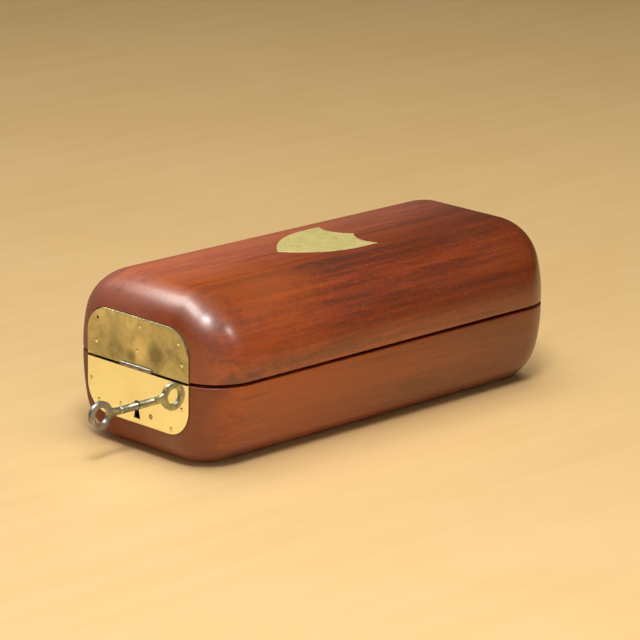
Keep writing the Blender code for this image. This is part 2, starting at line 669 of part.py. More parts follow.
def train():
    top = PILLAR_PLATE[0] - GAP
    foot = TOP_PLATE[1] + GAP
    wheel("centre_wheel", (0, 0), (0.0007, foot, 0.0073), (0.0012, -0.0024, -0.0008), (0.0079, -0.0003, 0.0005))
    wheel("third_wheel", THIRD_AT, (0.0005, foot, top), (0.0011, -0.0008, 0.0008), (0.0065, -0.0036, -0.0028))
    wheel("fourth_wheel", (0, SECONDS_Y), (0.0005, foot, 0.0059), (0.0011, -0.0038, -0.0026),
          (0.0060, -0.0054, -0.0046))
    wheel("escape_wheel", ESCAPE_AT, (0.0005, foot, top), (0.0010, -0.0058, -0.0044),
          (0.0045, -0.0072, -0.0066))
    rim = [(0.0010, -0.0010), (0.0092, -0.0010), (0.0092, -0.0020), (0.0010, -0.0020)]
    keep(turned("great_wheel", rim, COARSE), BRASS, (*FUSEE_AT, GIMBAL_Z))
    profile = [
        (0, top), (0.0007, top), (0.0007, -0.0023), (0.0045, -0.0023), (0.0060, -0.0050), (0.0078, -0.0086),
        (0.0009, -0.0086), (0.0009, -0.0205), (0, -0.0205),
    ]
    keep(turned("fusee", profile, COARSE), BRASS, (*FUSEE_AT, GIMBAL_Z))
    profile = [
        (0, top), (0.0008, top), (0.0008, -0.0012), (0.0086, -0.0012), (0.0086, -0.0086), (0.0008, -0.0086),
        (0.0008, foot), (0, foot),
    ]
    keep(turned("barrel", profile, COARSE), BRASS, (*BARREL_AT, GIMBAL_Z))
    blade = [(0.0122, -0.0195), (0.0142, -0.0195), (0.0142, -0.0160), (0.0129, -0.0155), (0.0127, -0.0075),
             (0.0122, -0.0075)]
    keep(flat("detent", [blade], 0.0008), STEEL, (0, 0, GIMBAL_Z - 0.0068))


def balance_group():
    rim = [(0.0078, 0.0006), (0.0092, 0.0006), (0.0092, -0.0006), (0.0078, -0.0006)]
    wheel_rim = turned("balance", rim, COARSE)
    arm = block("balance_arm", (-0.0084, -0.0009, -0.0004), (0.0084, 0.0009, 0.0004))
    staff = rod("balance_staff", (0, 0, -0.0011), 0.0046, 0.0005, sides=12)
    for piece in (arm, staff):
        piece.location.z += GIMBAL_Z - 0.0160
    keep(join(wheel_rim, arm, staff), BRASS, (0, 0, GIMBAL_Z - 0.0160))
    bar = block("balance_cock", (-0.0030, -0.0030, -0.0188), (0.0030, 0.0170, -0.0174))
    foot = block("cock_foot", (-0.0035, 0.0118, -0.0180), (0.0035, 0.0170, TOP_PLATE[0] - GAP))
    for piece in (bar, foot):
        piece.location.z += GIMBAL_Z
    keep(join(bar, foot), BRASS, bar.location)
    turns, points, radius = 4, 12, 0.0030
    curve = bpy.data.curves.new("balance_spring", "CURVE")
    curve.dimensions = "3D"
    curve.bevel_depth = 0.00012
    curve.bevel_resolution = 0
    curve.use_fill_caps = True
    spline = curve.splines.new("POLY")
    spline.points.add(turns * points)
    for i, point in enumerate(spline.points):
        angle = 2 * math.pi * i / points
        point.co = (radius * math.cos(angle), radius * math.sin(angle), 0.0022 * i / (turns * points), 1)
    keep(bpy.data.objects.new("balance_spring", curve), BLUED, (0, 0, GIMBAL_Z - 0.0148))


def dust_shutter():
    """A disc under the bowl. Turned by 60 degrees, its hole meets the winding hole."""
    reach = math.hypot(*FUSEE_AT)
    angle = math.degrees(math.atan2(FUSEE_AT[1], FUSEE_AT[0])) - 60
    hole = arc((0, 0), reach, angle, angle, 1)[0]
    disc = flat("dust_shutter", [circle(0.0155, sides=32), circle(0.0032, hole, 16)], 0.0009)
    keep(disc, BRASS, (0, 0, GIMBAL_Z + BOWL_BOTTOM - GAP - 0.00045))


def winding_key():
    """A T-handled key lying along X in the front tray."""
    profile = [(0, 0.0300), (0.0022, 0.0290), (0.0030, 0.0270), (0.0030, 0), (0.0019, -0.0020),
               (0.0019, -0.0230), (0, -0.0230)]
    shaft = turned("winding_key", profile, 16)
    shaft.rotation_euler = ALONG_X
    shaft.location = (0, -0.0850, 0.0340)
    handle = rod("winding_key_handle", (-0.0190, -0.0970, 0.0340), 0.0240, 0.0024,
                 (-math.pi / 2, 0, 0), 16)
    keep(join(shaft, handle), BRASS, shaft.location, ALONG_X)


def gimbal_lock():
    """An arm on the rear partition that swings over the bay to steady the ring."""
    pivot = (0.0330, BAY_HALF + PARTITION / 2, DECK_Z + GAP + 0.0010)
    reach, half = 0.0195, 0.0019
    outline = [(-reach, -half)] + arc((0, 0), 0.0030, -140, 140, 12) + [(-reach, half)]
    arm = flat("gimbal_lock_arm", [outline, circle(0.0015, sides=12)], 0.0020)
    keep(arm, BRASS, pivot)
    profile = [(0, 0.0038), (0.0026, 0.0038), (0.0028, 0.0023), (0.0011, 0.0023), (0.0011, 0), (0, 0)]
    keep(turned("gimbal_lock_screw", profile, 16), BRASS, (pivot[0], pivot[1], DECK_Z + GAP))


lower_case()
lid()
end_plates()
thumb_lip()
shield()
lining_and_wells()
lock_case()
lock_bolt()
bolt_spring()
drill_pin()
key()
catch_staple()
for direction, side_name in ((-1, "left"), (1, "right")):
    hinge(direction, side_name)
    gimbal_bracket(direction, side_name)
gimbal_ring()
bowl()
bezel_and_crystal()
dial()
hands()
plates_and_pillars()
poise_weight()
train()
balance_group()
dust_shutter()
winding_key()
gimbal_lock()
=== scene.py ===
"""The looks of the marine chronometer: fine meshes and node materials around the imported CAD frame.

Frame: origin at the centre of the case's underside, -Y the lock end, +Y the hinge end, +Z up, metres.
Sizes come from the CAD nodes' boxes. The case's edge roundings repeat the CAD's own driving dimensions.
"""

import json
import math
import random

import bmesh
import bpy
from mathutils import Matrix, Vector


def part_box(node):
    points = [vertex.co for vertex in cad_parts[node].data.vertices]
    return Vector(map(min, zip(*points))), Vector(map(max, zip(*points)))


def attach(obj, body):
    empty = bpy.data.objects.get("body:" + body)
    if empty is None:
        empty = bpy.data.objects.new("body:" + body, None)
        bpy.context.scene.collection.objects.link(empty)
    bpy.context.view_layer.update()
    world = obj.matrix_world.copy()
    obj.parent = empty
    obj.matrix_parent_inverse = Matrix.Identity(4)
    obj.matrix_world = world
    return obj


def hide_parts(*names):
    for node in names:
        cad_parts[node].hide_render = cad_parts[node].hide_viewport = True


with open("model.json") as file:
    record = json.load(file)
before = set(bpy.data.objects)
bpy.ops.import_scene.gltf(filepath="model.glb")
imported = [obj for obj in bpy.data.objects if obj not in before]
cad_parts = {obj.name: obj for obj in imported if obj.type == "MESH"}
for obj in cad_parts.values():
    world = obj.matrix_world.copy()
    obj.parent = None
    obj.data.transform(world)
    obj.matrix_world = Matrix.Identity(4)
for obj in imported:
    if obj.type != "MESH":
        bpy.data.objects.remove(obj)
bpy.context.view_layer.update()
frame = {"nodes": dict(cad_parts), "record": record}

FACE_FRONT = (math.pi / 2, 0, 0)  # local +Z towards -Y, local y up
FACE_SIDE = (math.pi / 2, 0, math.pi / 2)  # local +Z towards +X, local y up
ALONG_X = (0, math.pi / 2, 0)  # local +Z towards +X, local y kept
HAIR = 0.00012
GIMBAL_Z = 0.0500
SECONDS_Y, RESERVE_Y = -0.0140, 0.0140


# Camera, light and floor


def make_camera():
    """A long lens that sees the lock end, the right side and the lid, aimed at the case's middle."""
    azimuth, elevation, roll = math.radians(45.44), math.radians(17.28), math.radians(0.66)
    distance = 2.102
    level_back = math.cos(elevation)
    back = Vector((math.sin(azimuth) * level_back, -math.cos(azimuth) * level_back, math.sin(elevation)))
    place = back * distance
    aim = Vector((0.0008, 0.0008, 0.0533))
    away = (place - aim).normalized()
    right = Vector((0, 0, 1)).cross(away).normalized()
    up = away.cross(right)
    tilted_right = right * math.cos(roll) + up * math.sin(roll)
    tilted_up = away.cross(tilted_right)
    camera = bpy.data.objects.new("camera", bpy.data.cameras.new("camera"))
    camera.data.lens = 195.4
    camera.data.sensor_width = 36
    camera.data.clip_start = 0.05
    turn = Matrix((tilted_right, tilted_up, away)).transposed().to_4x4()
    camera.matrix_world = Matrix.Translation(place) @ turn
    bpy.context.scene.collection.objects.link(camera)
    bpy.context.scene.camera = camera


def area_light(name, place, target, size, power, colour):
    light = bpy.data.lights.new(name, "AREA")
    light.shape = "RECTANGLE"
    light.size, light.size_y = size
    light.energy = power
    light.color = colour
    obj = bpy.data.objects.new(name, light)
    obj.location = place
    obj.rotation_euler = (Vector(target) - Vector(place)).to_track_quat("-Z", "Y").to_euler()
    bpy.context.scene.collection.objects.link(obj)
    return obj


def make_lights():
    """A key, soft boxes that only make the highlights on the wood, and wide fills that make none."""
    lock_end, warm_light = (0, -0.10, 0.07), (1.0, 0.93, 0.82)
    area_light("key", (0.58, -0.60, 1.24), lock_end, (0.34, 0.30), 10, (1.0, 0.97, 0.95))
    for gloss in (
        area_light("strip", (-0.95, -0.30, 1.02), lock_end, (0.50, 0.80), 9, (0.90, 0.97, 0.93)),
        area_light("strip_end", (-0.20, -0.57, 1.27), lock_end, (0.95, 0.42), 14, (0.92, 0.97, 0.94)),
        area_light("hot_spot", (0.60, -0.78, 1.12), lock_end, (0.50, 0.50), 5, (1.0, 0.96, 0.93)),
        area_light("second", (1.18, 0.22, 0.88), lock_end, (0.16, 0.16), 3.6, (1.0, 0.97, 0.95)),
    ):
        gloss.visible_diffuse = False
    for fill in (
        area_light("front_fill", (0.55, -1.9, 0.75), (0, 0, 0.05), (1.6, 0.7), 5.6, warm_light),
        area_light("side_fill", (1.35, -0.80, 0.60), (0, -0.08, 0.04), (0.8, 0.5), 3.6, warm_light),
        area_light("top_fill", (0.0, 0.0, 1.95), (0.05, 0, 0), (2.0, 2.0), 36, (1.0, 0.95, 0.87)),
    ):
        fill.visible_glossy = False
    world = bpy.data.worlds.new("studio")
    world.use_nodes = True
    background = world.node_tree.nodes["Background"]
    background.inputs["Color"].default_value = (0.86, 0.74, 0.60, 1)
    background.inputs["Strength"].default_value = 0.035
    bpy.context.scene.world = world
    bpy.context.scene.view_settings.view_transform = "Standard"


# Node materials


class Finish:
    """A Principled material under construction. Each helper adds nodes and returns an output socket."""

    def __init__(self, name, **fixed):
        self.material = bpy.data.materials.new(name)
        self.material.use_nodes = True
        self.tree = self.material.node_tree
        self.shader = self.tree.nodes["Principled BSDF"]
        frame_of = self.node("ShaderNodeTexCoord")
        self.position, self.normal = frame_of.outputs["Object"], frame_of.outputs["Normal"]
        for socket, value in fixed.items():
            self.set(socket.replace("_", " ").title(), value)

    def set(self, socket, value):
        """Sets or links an input of the shader."""
        self.feed(self.shader.inputs[socket], value)
        return self

    def feed(self, socket, value):
        if isinstance(value, bpy.types.NodeSocket):
            self.tree.links.new(value, socket)
        elif isinstance(value, tuple) and len(value) == 3 and socket.type == "RGBA":
            socket.default_value = (*value, 1)
        else:
            socket.default_value = value

    def node(self, kind, inputs=None, **settings):
        made = self.tree.nodes.new(kind)
        for name, value in settings.items():
            setattr(made, name, value)
        for name, value in (inputs or {}).items():
            self.feed(made.inputs[name], value)
        return made

    def noise(self, scale, detail=4.0, rough=0.55, warp=0.0, offset=(0, 0, 0)):
        """Noise with its own scale along X, Y and Z, per metre. One number scales all three alike."""
        scale = scale if isinstance(scale, tuple) else (scale,) * 3
        place = self.node("ShaderNodeMapping", {"Vector": self.position, "Scale": scale, "Location": offset})
        inputs = {"Scale": 1.0, "Detail": detail, "Roughness": rough, "Distortion": warp}
        return self.node("ShaderNodeTexNoise", {"Vector": place.outputs["Vector"], **inputs}).outputs["Fac"]

    def ramp(self, value, *stops):
        """Maps a value through stops, each a place from 0 to 1 and a grey or a colour."""
        made = self.node("ShaderNodeValToRGB", {"Fac": value})
        elements = made.color_ramp.elements
        while len(elements) < len(stops):
            elements.new(0.5)
        for element, (at, colour) in zip(elements, stops):
            element.position = at
            grey = isinstance(colour, (int, float))
            element.color = (colour, colour, colour, 1) if grey else (*colour, 1)
        return made.outputs["Color"]

    def over(self, base, value, start, end, amount, colour):
        """Lays a colour over a base where a value passes from start to end, at most by an amount."""
        return self.mix(self.ramp(value, (start, 0.0), (end, amount)), base, colour)

    def mix(self, factor, first, second):
        made = self.node("ShaderNodeMix", data_type="RGBA")
        for index, value in ((0, factor), (6, first), (7, second)):
            self.feed(made.inputs[index], value)
        return made.outputs[2]

    def math(self, operation, first, second=0.5):
        return self.node("ShaderNodeMath", {0: first, 1: second}, operation=operation).outputs[0]

    def fade(self, socket, start, end, low=0.0, high=1.0):
        """A value that goes from low to high as a coordinate goes from start to end."""
        inputs = {"Value": socket, "From Min": start, "From Max": end, "To Min": low, "To Max": high}
        return self.node("ShaderNodeMapRange", inputs).outputs["Result"]

    def near(self, centre, radius):
        """1 at a point, fading to 0 at a radius, with a cloudy edge."""
        ragged = 0.5
        away = self.node("ShaderNodeVectorMath", {0: self.position, 1: centre}, operation="DISTANCE")
        cloud = self.math("MULTIPLY", self.noise(150, 4, 0.6), ragged * 2 * radius)
        spread = self.math("ADD", away.outputs["Value"], self.math("SUBTRACT", cloud, ragged * radius))
        return self.ramp(self.math("DIVIDE", spread, radius), (0.35, 0.85), (1.0, 0.0))

    def bump(self, height, distance, strength, under=None):
        """A bump's normal, which can lie over another one."""
        inputs = {"Height": height, "Distance": distance, "Strength": strength}
        if under is not None:
            inputs["Normal"] = under
        return self.node("ShaderNodeBump", inputs).outputs["Normal"]


def between_colours(first, second):
    return tuple((a + b) / 2 for a, b in zip(first, second))


def mahogany(name, dark, middle, light, glow, shift, polish=0.8, sheen=0.7, warm_light=()):
    """French-polished mahogany with its grain along Y: bands, finer streaks, fibre, veins and small pores. It
    is darker on end grain and has painted shade towards the hinge end, and its polish is worn towards -X. It
    has painted warm light, a lighter and warmer glow, round places, each a centre and a radius."""
    made = Finish(name, coat_roughness=0.25).set("Specular IOR Level", sheen)
    at = made.node("ShaderNodeSeparateXYZ", {"Vector": made.position}).outputs
    polished = made.fade(at["X"], -0.024, 0.022, 0.2)
    made.set("Coat Weight", made.math("MULTIPLY", polished, polish))
    band = made.noise((40, 1.6, 40), 3, 0.5, 0.25, shift)
    streak = made.noise((150, 6.5, 150), 5, 0.68, 0.4, (shift[2], shift[0], shift[1]))
    fibre = made.noise((520, 26, 520), 4, 0.65, 0.2)
    speckle = made.noise((1300, 420, 1300), 3, 0.6)
    tone = made.math("MULTIPLY", band, 0.36)
    for part, weight in ((streak, 0.34), (fibre, 0.18), (speckle, 0.12)):
        tone = made.math("ADD", tone, made.math("MULTIPLY", part, weight))
    colour = made.ramp(tone, (0.435, dark), (0.50, middle), (0.57, light))
    figure = made.noise((13, 7, 13), 4, 0.55, 0.6, (shift[1], shift[2], shift[0]))
    colour = made.over(colour, figure, 0.47, 0.66, 0.55, glow)
    # painted warm light: a lighter, warmer glow round each given place
    for place in warm_light:
        colour = made.mix(made.math("MULTIPLY", made.near(*place), 0.6), colour, glow)
    facing = made.node("ShaderNodeSeparateXYZ", {"Vector": made.normal}).outputs["Y"]
    colour = made.over(colour, made.math("ABSOLUTE", facing), 0.25, 0.85, 0.75, between_colours(dark, middle))
    # painted shade: the wood darkens towards the hinge end, which the light reaches less
    colour = made.mix(made.fade(at["Y"], -0.10, 0.15, 0.0, 0.66), colour, dark)
    veins = made.noise((210, 6.0, 210), 4, 0.65, 0.5, (9, 2, 4))
    colour = made.over(colour, veins, 0.60, 0.70, 0.40, dark)
    pores = made.ramp(made.noise((2300, 260, 2300), 2, 0.5), (0.63, 0.0), (0.70, 0.32))
    colour = made.mix(pores, colour, tuple(c * 0.35 for c in dark))
    flecks = made.noise((2100, 330, 2100), 2, 0.5, 0, (5, 7, 2))
    colour = made.over(colour, flecks, 0.60, 0.70, 0.34, tuple(min(c * 1.45, 1) for c in light))
    made.set("Base Color", colour)
    smear = made.ramp(made.noise((22, 14, 22), 5, 0.6), (0.35, 0.38), (0.70, 0.54))
    made.set("Roughness", made.mix(polished, (0.9, 0.9, 0.9), smear))
    relief = made.math("SUBTRACT", made.math("MULTIPLY", fibre, 0.3), pores)
    made.set("Normal", made.bump(relief, 0.00004, 0.35))
    ripple = made.noise((60, 26, 60), 4, 0.55)
    made.set("Coat Normal", made.bump(ripple, 0.00010, 0.5))
    return made.material


def polished_brass(name, colour, grime, shine, waves=0.00010):
    """Old brass that has been rubbed bright: slight waviness, rub marks and a little toning."""
    made = Finish(name, metallic=1.0)
    cloud = made.noise(45, 5, 0.6, 0.4)
    base = made.over(colour, cloud, 0.46, 0.78, 0.55, grime)
    spots = made.noise(620, 2, 0.5, 0, (3, 1, 2))
    base = made.over(base, spots, 0.70, 0.76, 0.6, tuple(c * 0.5 for c in grime))
    made.set("Base Color", base)
    rub = made.noise((1900, 120, 420), 3, 0.6)
    made.set("Roughness", made.ramp(made.mix(0.5, cloud, rub), (0.38, shine[0]), (0.72, shine[1])))
    wavy = made.bump(made.noise(60, 2, 0.5, 0, (1, 4, 2)), waves, 0.30)
    made.set("Normal", made.bump(rub, 0.000008, 0.30, wavy))
    return made.material


def tarnished_brass(name="tarnished_brass", rubbed=(), smudges=()):
    """Brass that has gone olive in clouds, with darker blots and fine scratches. It can be rubbed bright in
    places and smudged dark in others: each a centre and a radius."""
    made = Finish(name, metallic=1.0)
    cloud = made.noise(38, 6, 0.62, 0.5, (0.3, 1.4, 0.2))
    olive, dull = (0.34, 0.305, 0.16), (0.50, 0.45, 0.25)
    yellow, bright = (0.62, 0.56, 0.31), (0.88, 0.80, 0.47)
    base = made.ramp(cloud, (0.30, olive), (0.46, dull), (0.58, yellow), (0.72, bright))
    blots = made.noise(120, 4, 0.6, 0.3, (4, 4, 1))
    base = made.over(base, blots, 0.58, 0.72, 0.55, (0.23, 0.205, 0.105))
    for patch in rubbed:
        base = made.mix(made.near(*patch), base, (0.90, 0.76, 0.40))
    for smudge in smudges:
        base = made.mix(made.near(*smudge), base, (0.24, 0.215, 0.12))
    scratch = made.ramp(made.noise((2600, 160, 260), 2, 0.5), (0.66, 0.0), (0.72, 0.25))
    base = made.mix(scratch, base, (0.80, 0.66, 0.34))
    made.set("Base Color", base)
    made.set("Roughness", made.ramp(cloud, (0.34, 0.42), (0.72, 0.20)))
    wavy = made.bump(made.noise(80, 3, 0.5), 0.00006, 0.25)
    made.set("Normal", made.bump(scratch, 0.00001, 0.3, wavy))
    return made.material


def satin_brass():
    """The shield: lacquered, dulled brass, pale yellow-green, with worn scratches across it."""
    made = Finish("shield_brass", metallic=0.45)
    cloud = made.noise(70, 5, 0.6, 0.6)
    dull, middle, pale = (0.62, 0.53, 0.19), (0.78, 0.66, 0.25), (0.90, 0.77, 0.32)
    base = made.ramp(cloud, (0.34, dull), (0.52, middle), (0.70, pale))
    wear = made.ramp(made.noise((130, 420, 130), 4, 0.65, 1.4, (2, 5, 1)), (0.56, 0.0), (0.64, 0.55))
    base = made.mix(wear, base, (0.34, 0.28, 0.105))
    bright = made.noise((420, 110, 100), 3, 0.6, 1.0, (7, 1, 3))
    base = made.over(base, bright, 0.60, 0.68, 0.5, (0.95, 0.82, 0.42))
    made.set("Base Color", base)
    made.set("Roughness", made.ramp(cloud, (0.34, 0.58), (0.70, 0.42)))
    made.set("Normal", made.bump(wear, 0.00002, 0.6))
    return made.material


def worn_steel(name="worn_steel", bright=(0.46, 0.45, 0.43), dull=(0.28, 0.28, 0.28)):
    """Handled steel: grey, with brown pits and brighter wear."""
    made = Finish(name, metallic=1.0)
    cloud = made.noise(220, 5, 0.6, 0.4)
    base = made.ramp(cloud, (0.36, dull), (0.52, between_colours(bright, dull)), (0.66, bright))
    pits = made.ramp(made.noise(1500, 3, 0.5, 0, (2, 2, 5)), (0.62, 0.0), (0.70, 0.35))
    base = made.mix(pits, base, (0.085, 0.055, 0.035))
    made.set("Base Color", base)
    made.set("Roughness", made.ramp(cloud, (0.35, 0.52), (0.70, 0.27)))
    made.set("Normal", made.bump(made.math("SUBTRACT", cloud, pits), 0.00003, 0.4))
    return made.material


def blued_steel():
    """Steel tempered to a deep blue, a little uneven."""
    made = Finish("blued_steel", metallic=1.0)
    cloud = made.noise(420, 3, 0.5)
    made.set("Base Color", made.ramp(cloud, (0.40, (0.018, 0.035, 0.15)), (0.66, (0.045, 0.085, 0.32))))
    made.set("Roughness", made.ramp(cloud, (0.4, 0.16), (0.7, 0.28)))
    return made.material


def velvet():
    """Short cut pile, brushed unevenly."""
    colour = (0.030, 0.075, 0.050)
    deep, lit = tuple(c * 0.55 for c in colour), tuple(c * 1.7 for c in colour)
    made = Finish("velvet", roughness=0.92, sheen_weight=0.75, sheen_roughness=0.35)
    pile = made.noise(2600, 2, 0.6)
    brushed = made.noise(38, 4, 0.6, 0.8)
    shade = made.over(deep, brushed, 0.35, 0.70, 1.0, colour)
    made.set("Base Color", made.over(shade, pile, 0.35, 0.7, 0.5, lit))
    made.set("Normal", made.bump(pile, 0.00025, 0.6, made.bump(brushed, 0.0006, 0.4)))
    return made.material


def silvered():
    """Silvered brass with the fine circular brushing of an old dial and a few age spots."""
    made = Finish("silvered_dial", metallic=0.55)
    cloud = made.noise(90, 4, 0.6)
    base = made.ramp(cloud, (0.36, (0.70, 0.68, 0.61)), (0.68, (0.86, 0.85, 0.80)))
    spots = made.noise(700, 2, 0.5, 0, (6, 1, 1))
    made.set("Base Color", made.over(base, spots, 0.70, 0.76, 0.5, (0.45, 0.38, 0.25)))
    made.set("Roughness", made.ramp(cloud, (0.4, 0.38), (0.7, 0.50)))
    made.set("Normal", made.bump(made.noise(1600, 2, 0.5), 0.00001, 0.3))
    return made.material


def dark_wax():
    """The black filling of the dial's engraved marks."""
    made = Finish("engraver_wax", roughness=0.5)
    grain = made.noise(900, 2, 0.5)
    made.set("Base Color", made.ramp(grain, (0.4, (0.006, 0.006, 0.007)), (0.7, (0.02, 0.02, 0.022))))
    return made.material


def crystal_glass():
    """Clear glass with a faint green smear."""
    made = Finish("crystal_glass", roughness=0.02, transmission_weight=1.0).set("IOR", 1.45)
    smear = made.noise(60, 4, 0.6)
    made.set("Base Color", made.ramp(smear, (0.3, (0.96, 0.985, 0.98)), (0.7, (1.0, 1.0, 1.0))))
    return made.material


def floor_finish():
    """Pale boards, almost plain."""
    made = Finish("pale_floor", roughness=0.55)
    grain = made.noise((60, 3, 1), 5, 0.6, 0.4)
    cloud = made.noise((5, 5, 1), 4, 0.55)
    tone = made.over((0.76, 0.520, 0.230), grain, 0.35, 0.7, 1.0, (0.80, 0.555, 0.255))
    made.set("Base Color", made.over(tone, cloud, 0.4, 0.7, 0.35, (0.84, 0.61, 0.31)))
    return made.material


# Each wood: dark, middle, light and glowing colour, then the grain's shift; the case's halves also get places
# of painted warm light
LID_WOOD = mahogany(
    "mahogany_lid", (0.112, 0.0205, 0.0034), (0.270, 0.0390, 0.0035), (0.400, 0.0760, 0.0060),
    (0.420, 0.0850, 0.0065), (0.3, 1.7, 0.9), warm_light=(((0.036, -0.092, 0.098), 0.062),),
)
BASE_WOOD = mahogany(
    "mahogany_base", (0.085, 0.0130, 0.0015), (0.200, 0.0320, 0.0025), (0.330, 0.0610, 0.0045),
    (0.330, 0.0600, 0.0040), (4.1, 0.6, 2.2), 0.5, 0.55, (((0.065, -0.060, 0.030), 0.050),),
)
INNER_WOOD = mahogany(
    "mahogany_inside", (0.09, 0.022, 0.009), (0.19, 0.050, 0.018), (0.30, 0.095, 0.035),
    (0.28, 0.085, 0.028), (7.0, 2.0, 1.1), 0.3,
)
BRASS = polished_brass("polished_brass", (0.90, 0.66, 0.28), (0.55, 0.36, 0.12), (0.10, 0.24))
MOVEMENT_BRASS = polished_brass("gilt_brass", (0.84, 0.60, 0.26), (0.62, 0.42, 0.16), (0.20, 0.32))
LOCK_BRASS = polished_brass(
    "lock_plate_brass", (0.99, 0.97, 0.62), (0.86, 0.78, 0.44), (0.035, 0.075), 0.00003,
)
OLD_BRASS = tarnished_brass()
SHIELD_BRASS = satin_brass()
STEEL = worn_steel()
BRIGHT_STEEL = worn_steel("bright_steel", (0.62, 0.60, 0.57), (0.33, 0.30, 0.27))
BLUED = blued_steel()
VELVET = velvet()
SILVERED = silvered()
WAX = dark_wax()
GLASS = crystal_glass()


# Mesh tools


def link(obj):
    bpy.context.scene.collection.objects.link(obj)
    return obj


def evaluated_mesh(obj):
    """A new mesh of an object with its modifiers or its curve worked out."""
    return bpy.data.meshes.new_from_object(obj.evaluated_get(bpy.context.evaluated_depsgraph_get()))


def solid(name, mesh_or_shape):
    """An object from a mesh, or from a bmesh, which it frees."""
    mesh = mesh_or_shape
    if isinstance(mesh_or_shape, bmesh.types.BMesh):
        mesh = bpy.data.meshes.new(name)
        mesh_or_shape.to_mesh(mesh)
        mesh_or_shape.free()
    return link(bpy.data.objects.new(name, mesh))


def arc(centre, radius, start, end, steps):
    """Points along an arc with both its ends, in degrees."""
    angles = [math.radians(start + (end - start) * i / steps) for i in range(steps + 1)]
    return [(centre[0] + radius * math.cos(a), centre[1] + radius * math.sin(a)) for a in angles]


def circle(radius, centre=(0, 0), sides=48):
    return arc(centre, radius, 0, 360 - 360 / sides, sides - 1)


def bezier(a, b, c, d, steps):
    """Points along a cubic curve, without its end."""
    points = []
    for i in range(steps):
        t = i / steps
        weights = ((1 - t) ** 3, 3 * t * (1 - t) ** 2, 3 * t * t * (1 - t), t**3)
        points.append(tuple(sum(w * p[k] for w, p in zip(weights, (a, b, c, d))) for k in (0, 1)))
    return points


def between(start, end, steps):
    """Points along a straight run, without either end."""
    return [tuple(a + (b - a) * i / steps for a, b in zip(start, end)) for i in range(1, steps)]


def rounded_rectangle(half_x, half_y, radius, centre_y=0.0, along=(1, 1)):
    """Corner arcs joined by straight runs, which are divided along X and along Y."""
    steps = 16
    corners = ((1, 1, 0), (-1, 1, 90), (-1, -1, 180), (1, -1, 270))
    points = []
    for index, (sx, sy, start) in enumerate(corners):
        centre = (sx * (half_x - radius), centre_y + sy * (half_y - radius))
        corner = arc(centre, radius, start, start + 90, steps)
        if points:
            points += between(points[-1], corner[0], along[(index + 1) % 2])
        points += corner
    return points + between(points[-1], points[0], along[1])


def loft(name, sections):
    """A closed body through rings of 3D points, bottom to top."""
    shape = bmesh.new()
    rings = [[shape.verts.new(point) for point in ring] for ring in sections]
    for low, high in zip(rings, rings[1:]):
        for i in range(len(low)):
            j = (i + 1) % len(low)
            shape.faces.new((low[i], low[j], high[j], high[i]))
    shape.faces.new(list(reversed(rings[0])))
    shape.faces.new(rings[-1])
    return solid(name, shape)


def level(outline, z):
    """An outline's points at a height."""
    return [(x, y, z) for x, y in outline]


def slab(name, outline, low, high):
    """An outline extruded along Z."""
    return loft(name, [level(outline, low), level(outline, high)])


def block(name, low, high, edge=0.0):
    """A box between two corners, with its edges rounded if asked."""
    shape = bmesh.new()
    bmesh.ops.create_cube(shape, size=1)
    for vertex in shape.verts:
        vertex.co = [a + (b - a) * (c + 0.5) for a, b, c in zip(low, high, vertex.co)]
    if edge:
        settings = {"segments": 2, "profile": 0.5, "affect": "EDGES", "clamp_overlap": True}
        bmesh.ops.bevel(shape, geom=shape.edges[:], offset=edge, **settings)
    return solid(name, shape)


def turned(name, profile, sides=96, place=(0, 0, 0), turn=(0, 0, 0)):
    """A turned body round local Z from a (radius, height) profile down its outer side."""
    shape = bmesh.new()
    closed = bool(profile[0][0] or profile[-1][0])
    rings = []
    for radius, height in profile:
        if radius:
            rings.append([shape.verts.new((x, y, height)) for x, y in circle(radius, sides=sides)])
        else:
            rings.append([shape.verts.new((0, 0, height))] * sides)
    pairs = list(zip(rings, rings[1:])) + ([(rings[-1], rings[0])] if closed else [])
    for high, low in pairs:
        for i in range(sides):
            j = (i + 1) % sides
            corners = []
            for vertex in (low[i], low[j], high[j], high[i]):
                if vertex not in corners:
                    corners.append(vertex)
            if len(corners) > 2:
                shape.faces.new(corners)
    made = solid(name, shape)
    made.location = place
    made.rotation_euler = turn
    return settle(made)


def settle(obj):
    """Moves an object's place into its mesh."""
    bpy.context.view_layer.update()
    obj.data.transform(obj.matrix_world)
    obj.matrix_world = Matrix.Identity(4)
    return obj


def flat(name, outlines, thickness, edge=0.0):
    """A flat plate from closed outlines, the later ones being holes, with softened edges."""
    curve = bpy.data.curves.new(name, "CURVE")
    curve.dimensions = "2D"
    curve.fill_mode = "BOTH"
    curve.extrude = thickness / 2 - edge
    curve.bevel_depth = edge
    curve.bevel_resolution = 1
    curve.offset = -edge
    for outline in outlines:
        spline = curve.splines.new("POLY")
        spline.points.add(len(outline) - 1)
        for point, (x, y) in zip(spline.points, outline):
            point.co = (x, y, 0, 1)
        spline.use_cyclic_u = True
    drawn = link(bpy.data.objects.new(name + "_outline", curve))
    mesh = evaluated_mesh(drawn)
    bpy.data.objects.remove(drawn)
    shape = bmesh.new()
    shape.from_mesh(mesh)
    bmesh.ops.remove_doubles(shape, verts=shape.verts, dist=0.000002)
    bmesh.ops.recalc_face_normals(shape, faces=shape.faces)
    shape.to_mesh(mesh)
    shape.free()
    return solid(name, mesh)


def combine(target, others, operation):
    """Joins or cuts, then removes the other objects."""
    for other in others:
        modifier = target.modifiers.new("combine", "BOOLEAN")
        modifier.operation = operation
        modifier.object = other
    mesh = evaluated_mesh(target)
    target.modifiers.clear()
    target.data = mesh
    for other in others:
        bpy.data.objects.remove(other)
    return target


def cut(target, *others):
    return combine(target, others, "DIFFERENCE")


def join(target, *others):
    return combine(target, others, "UNION")


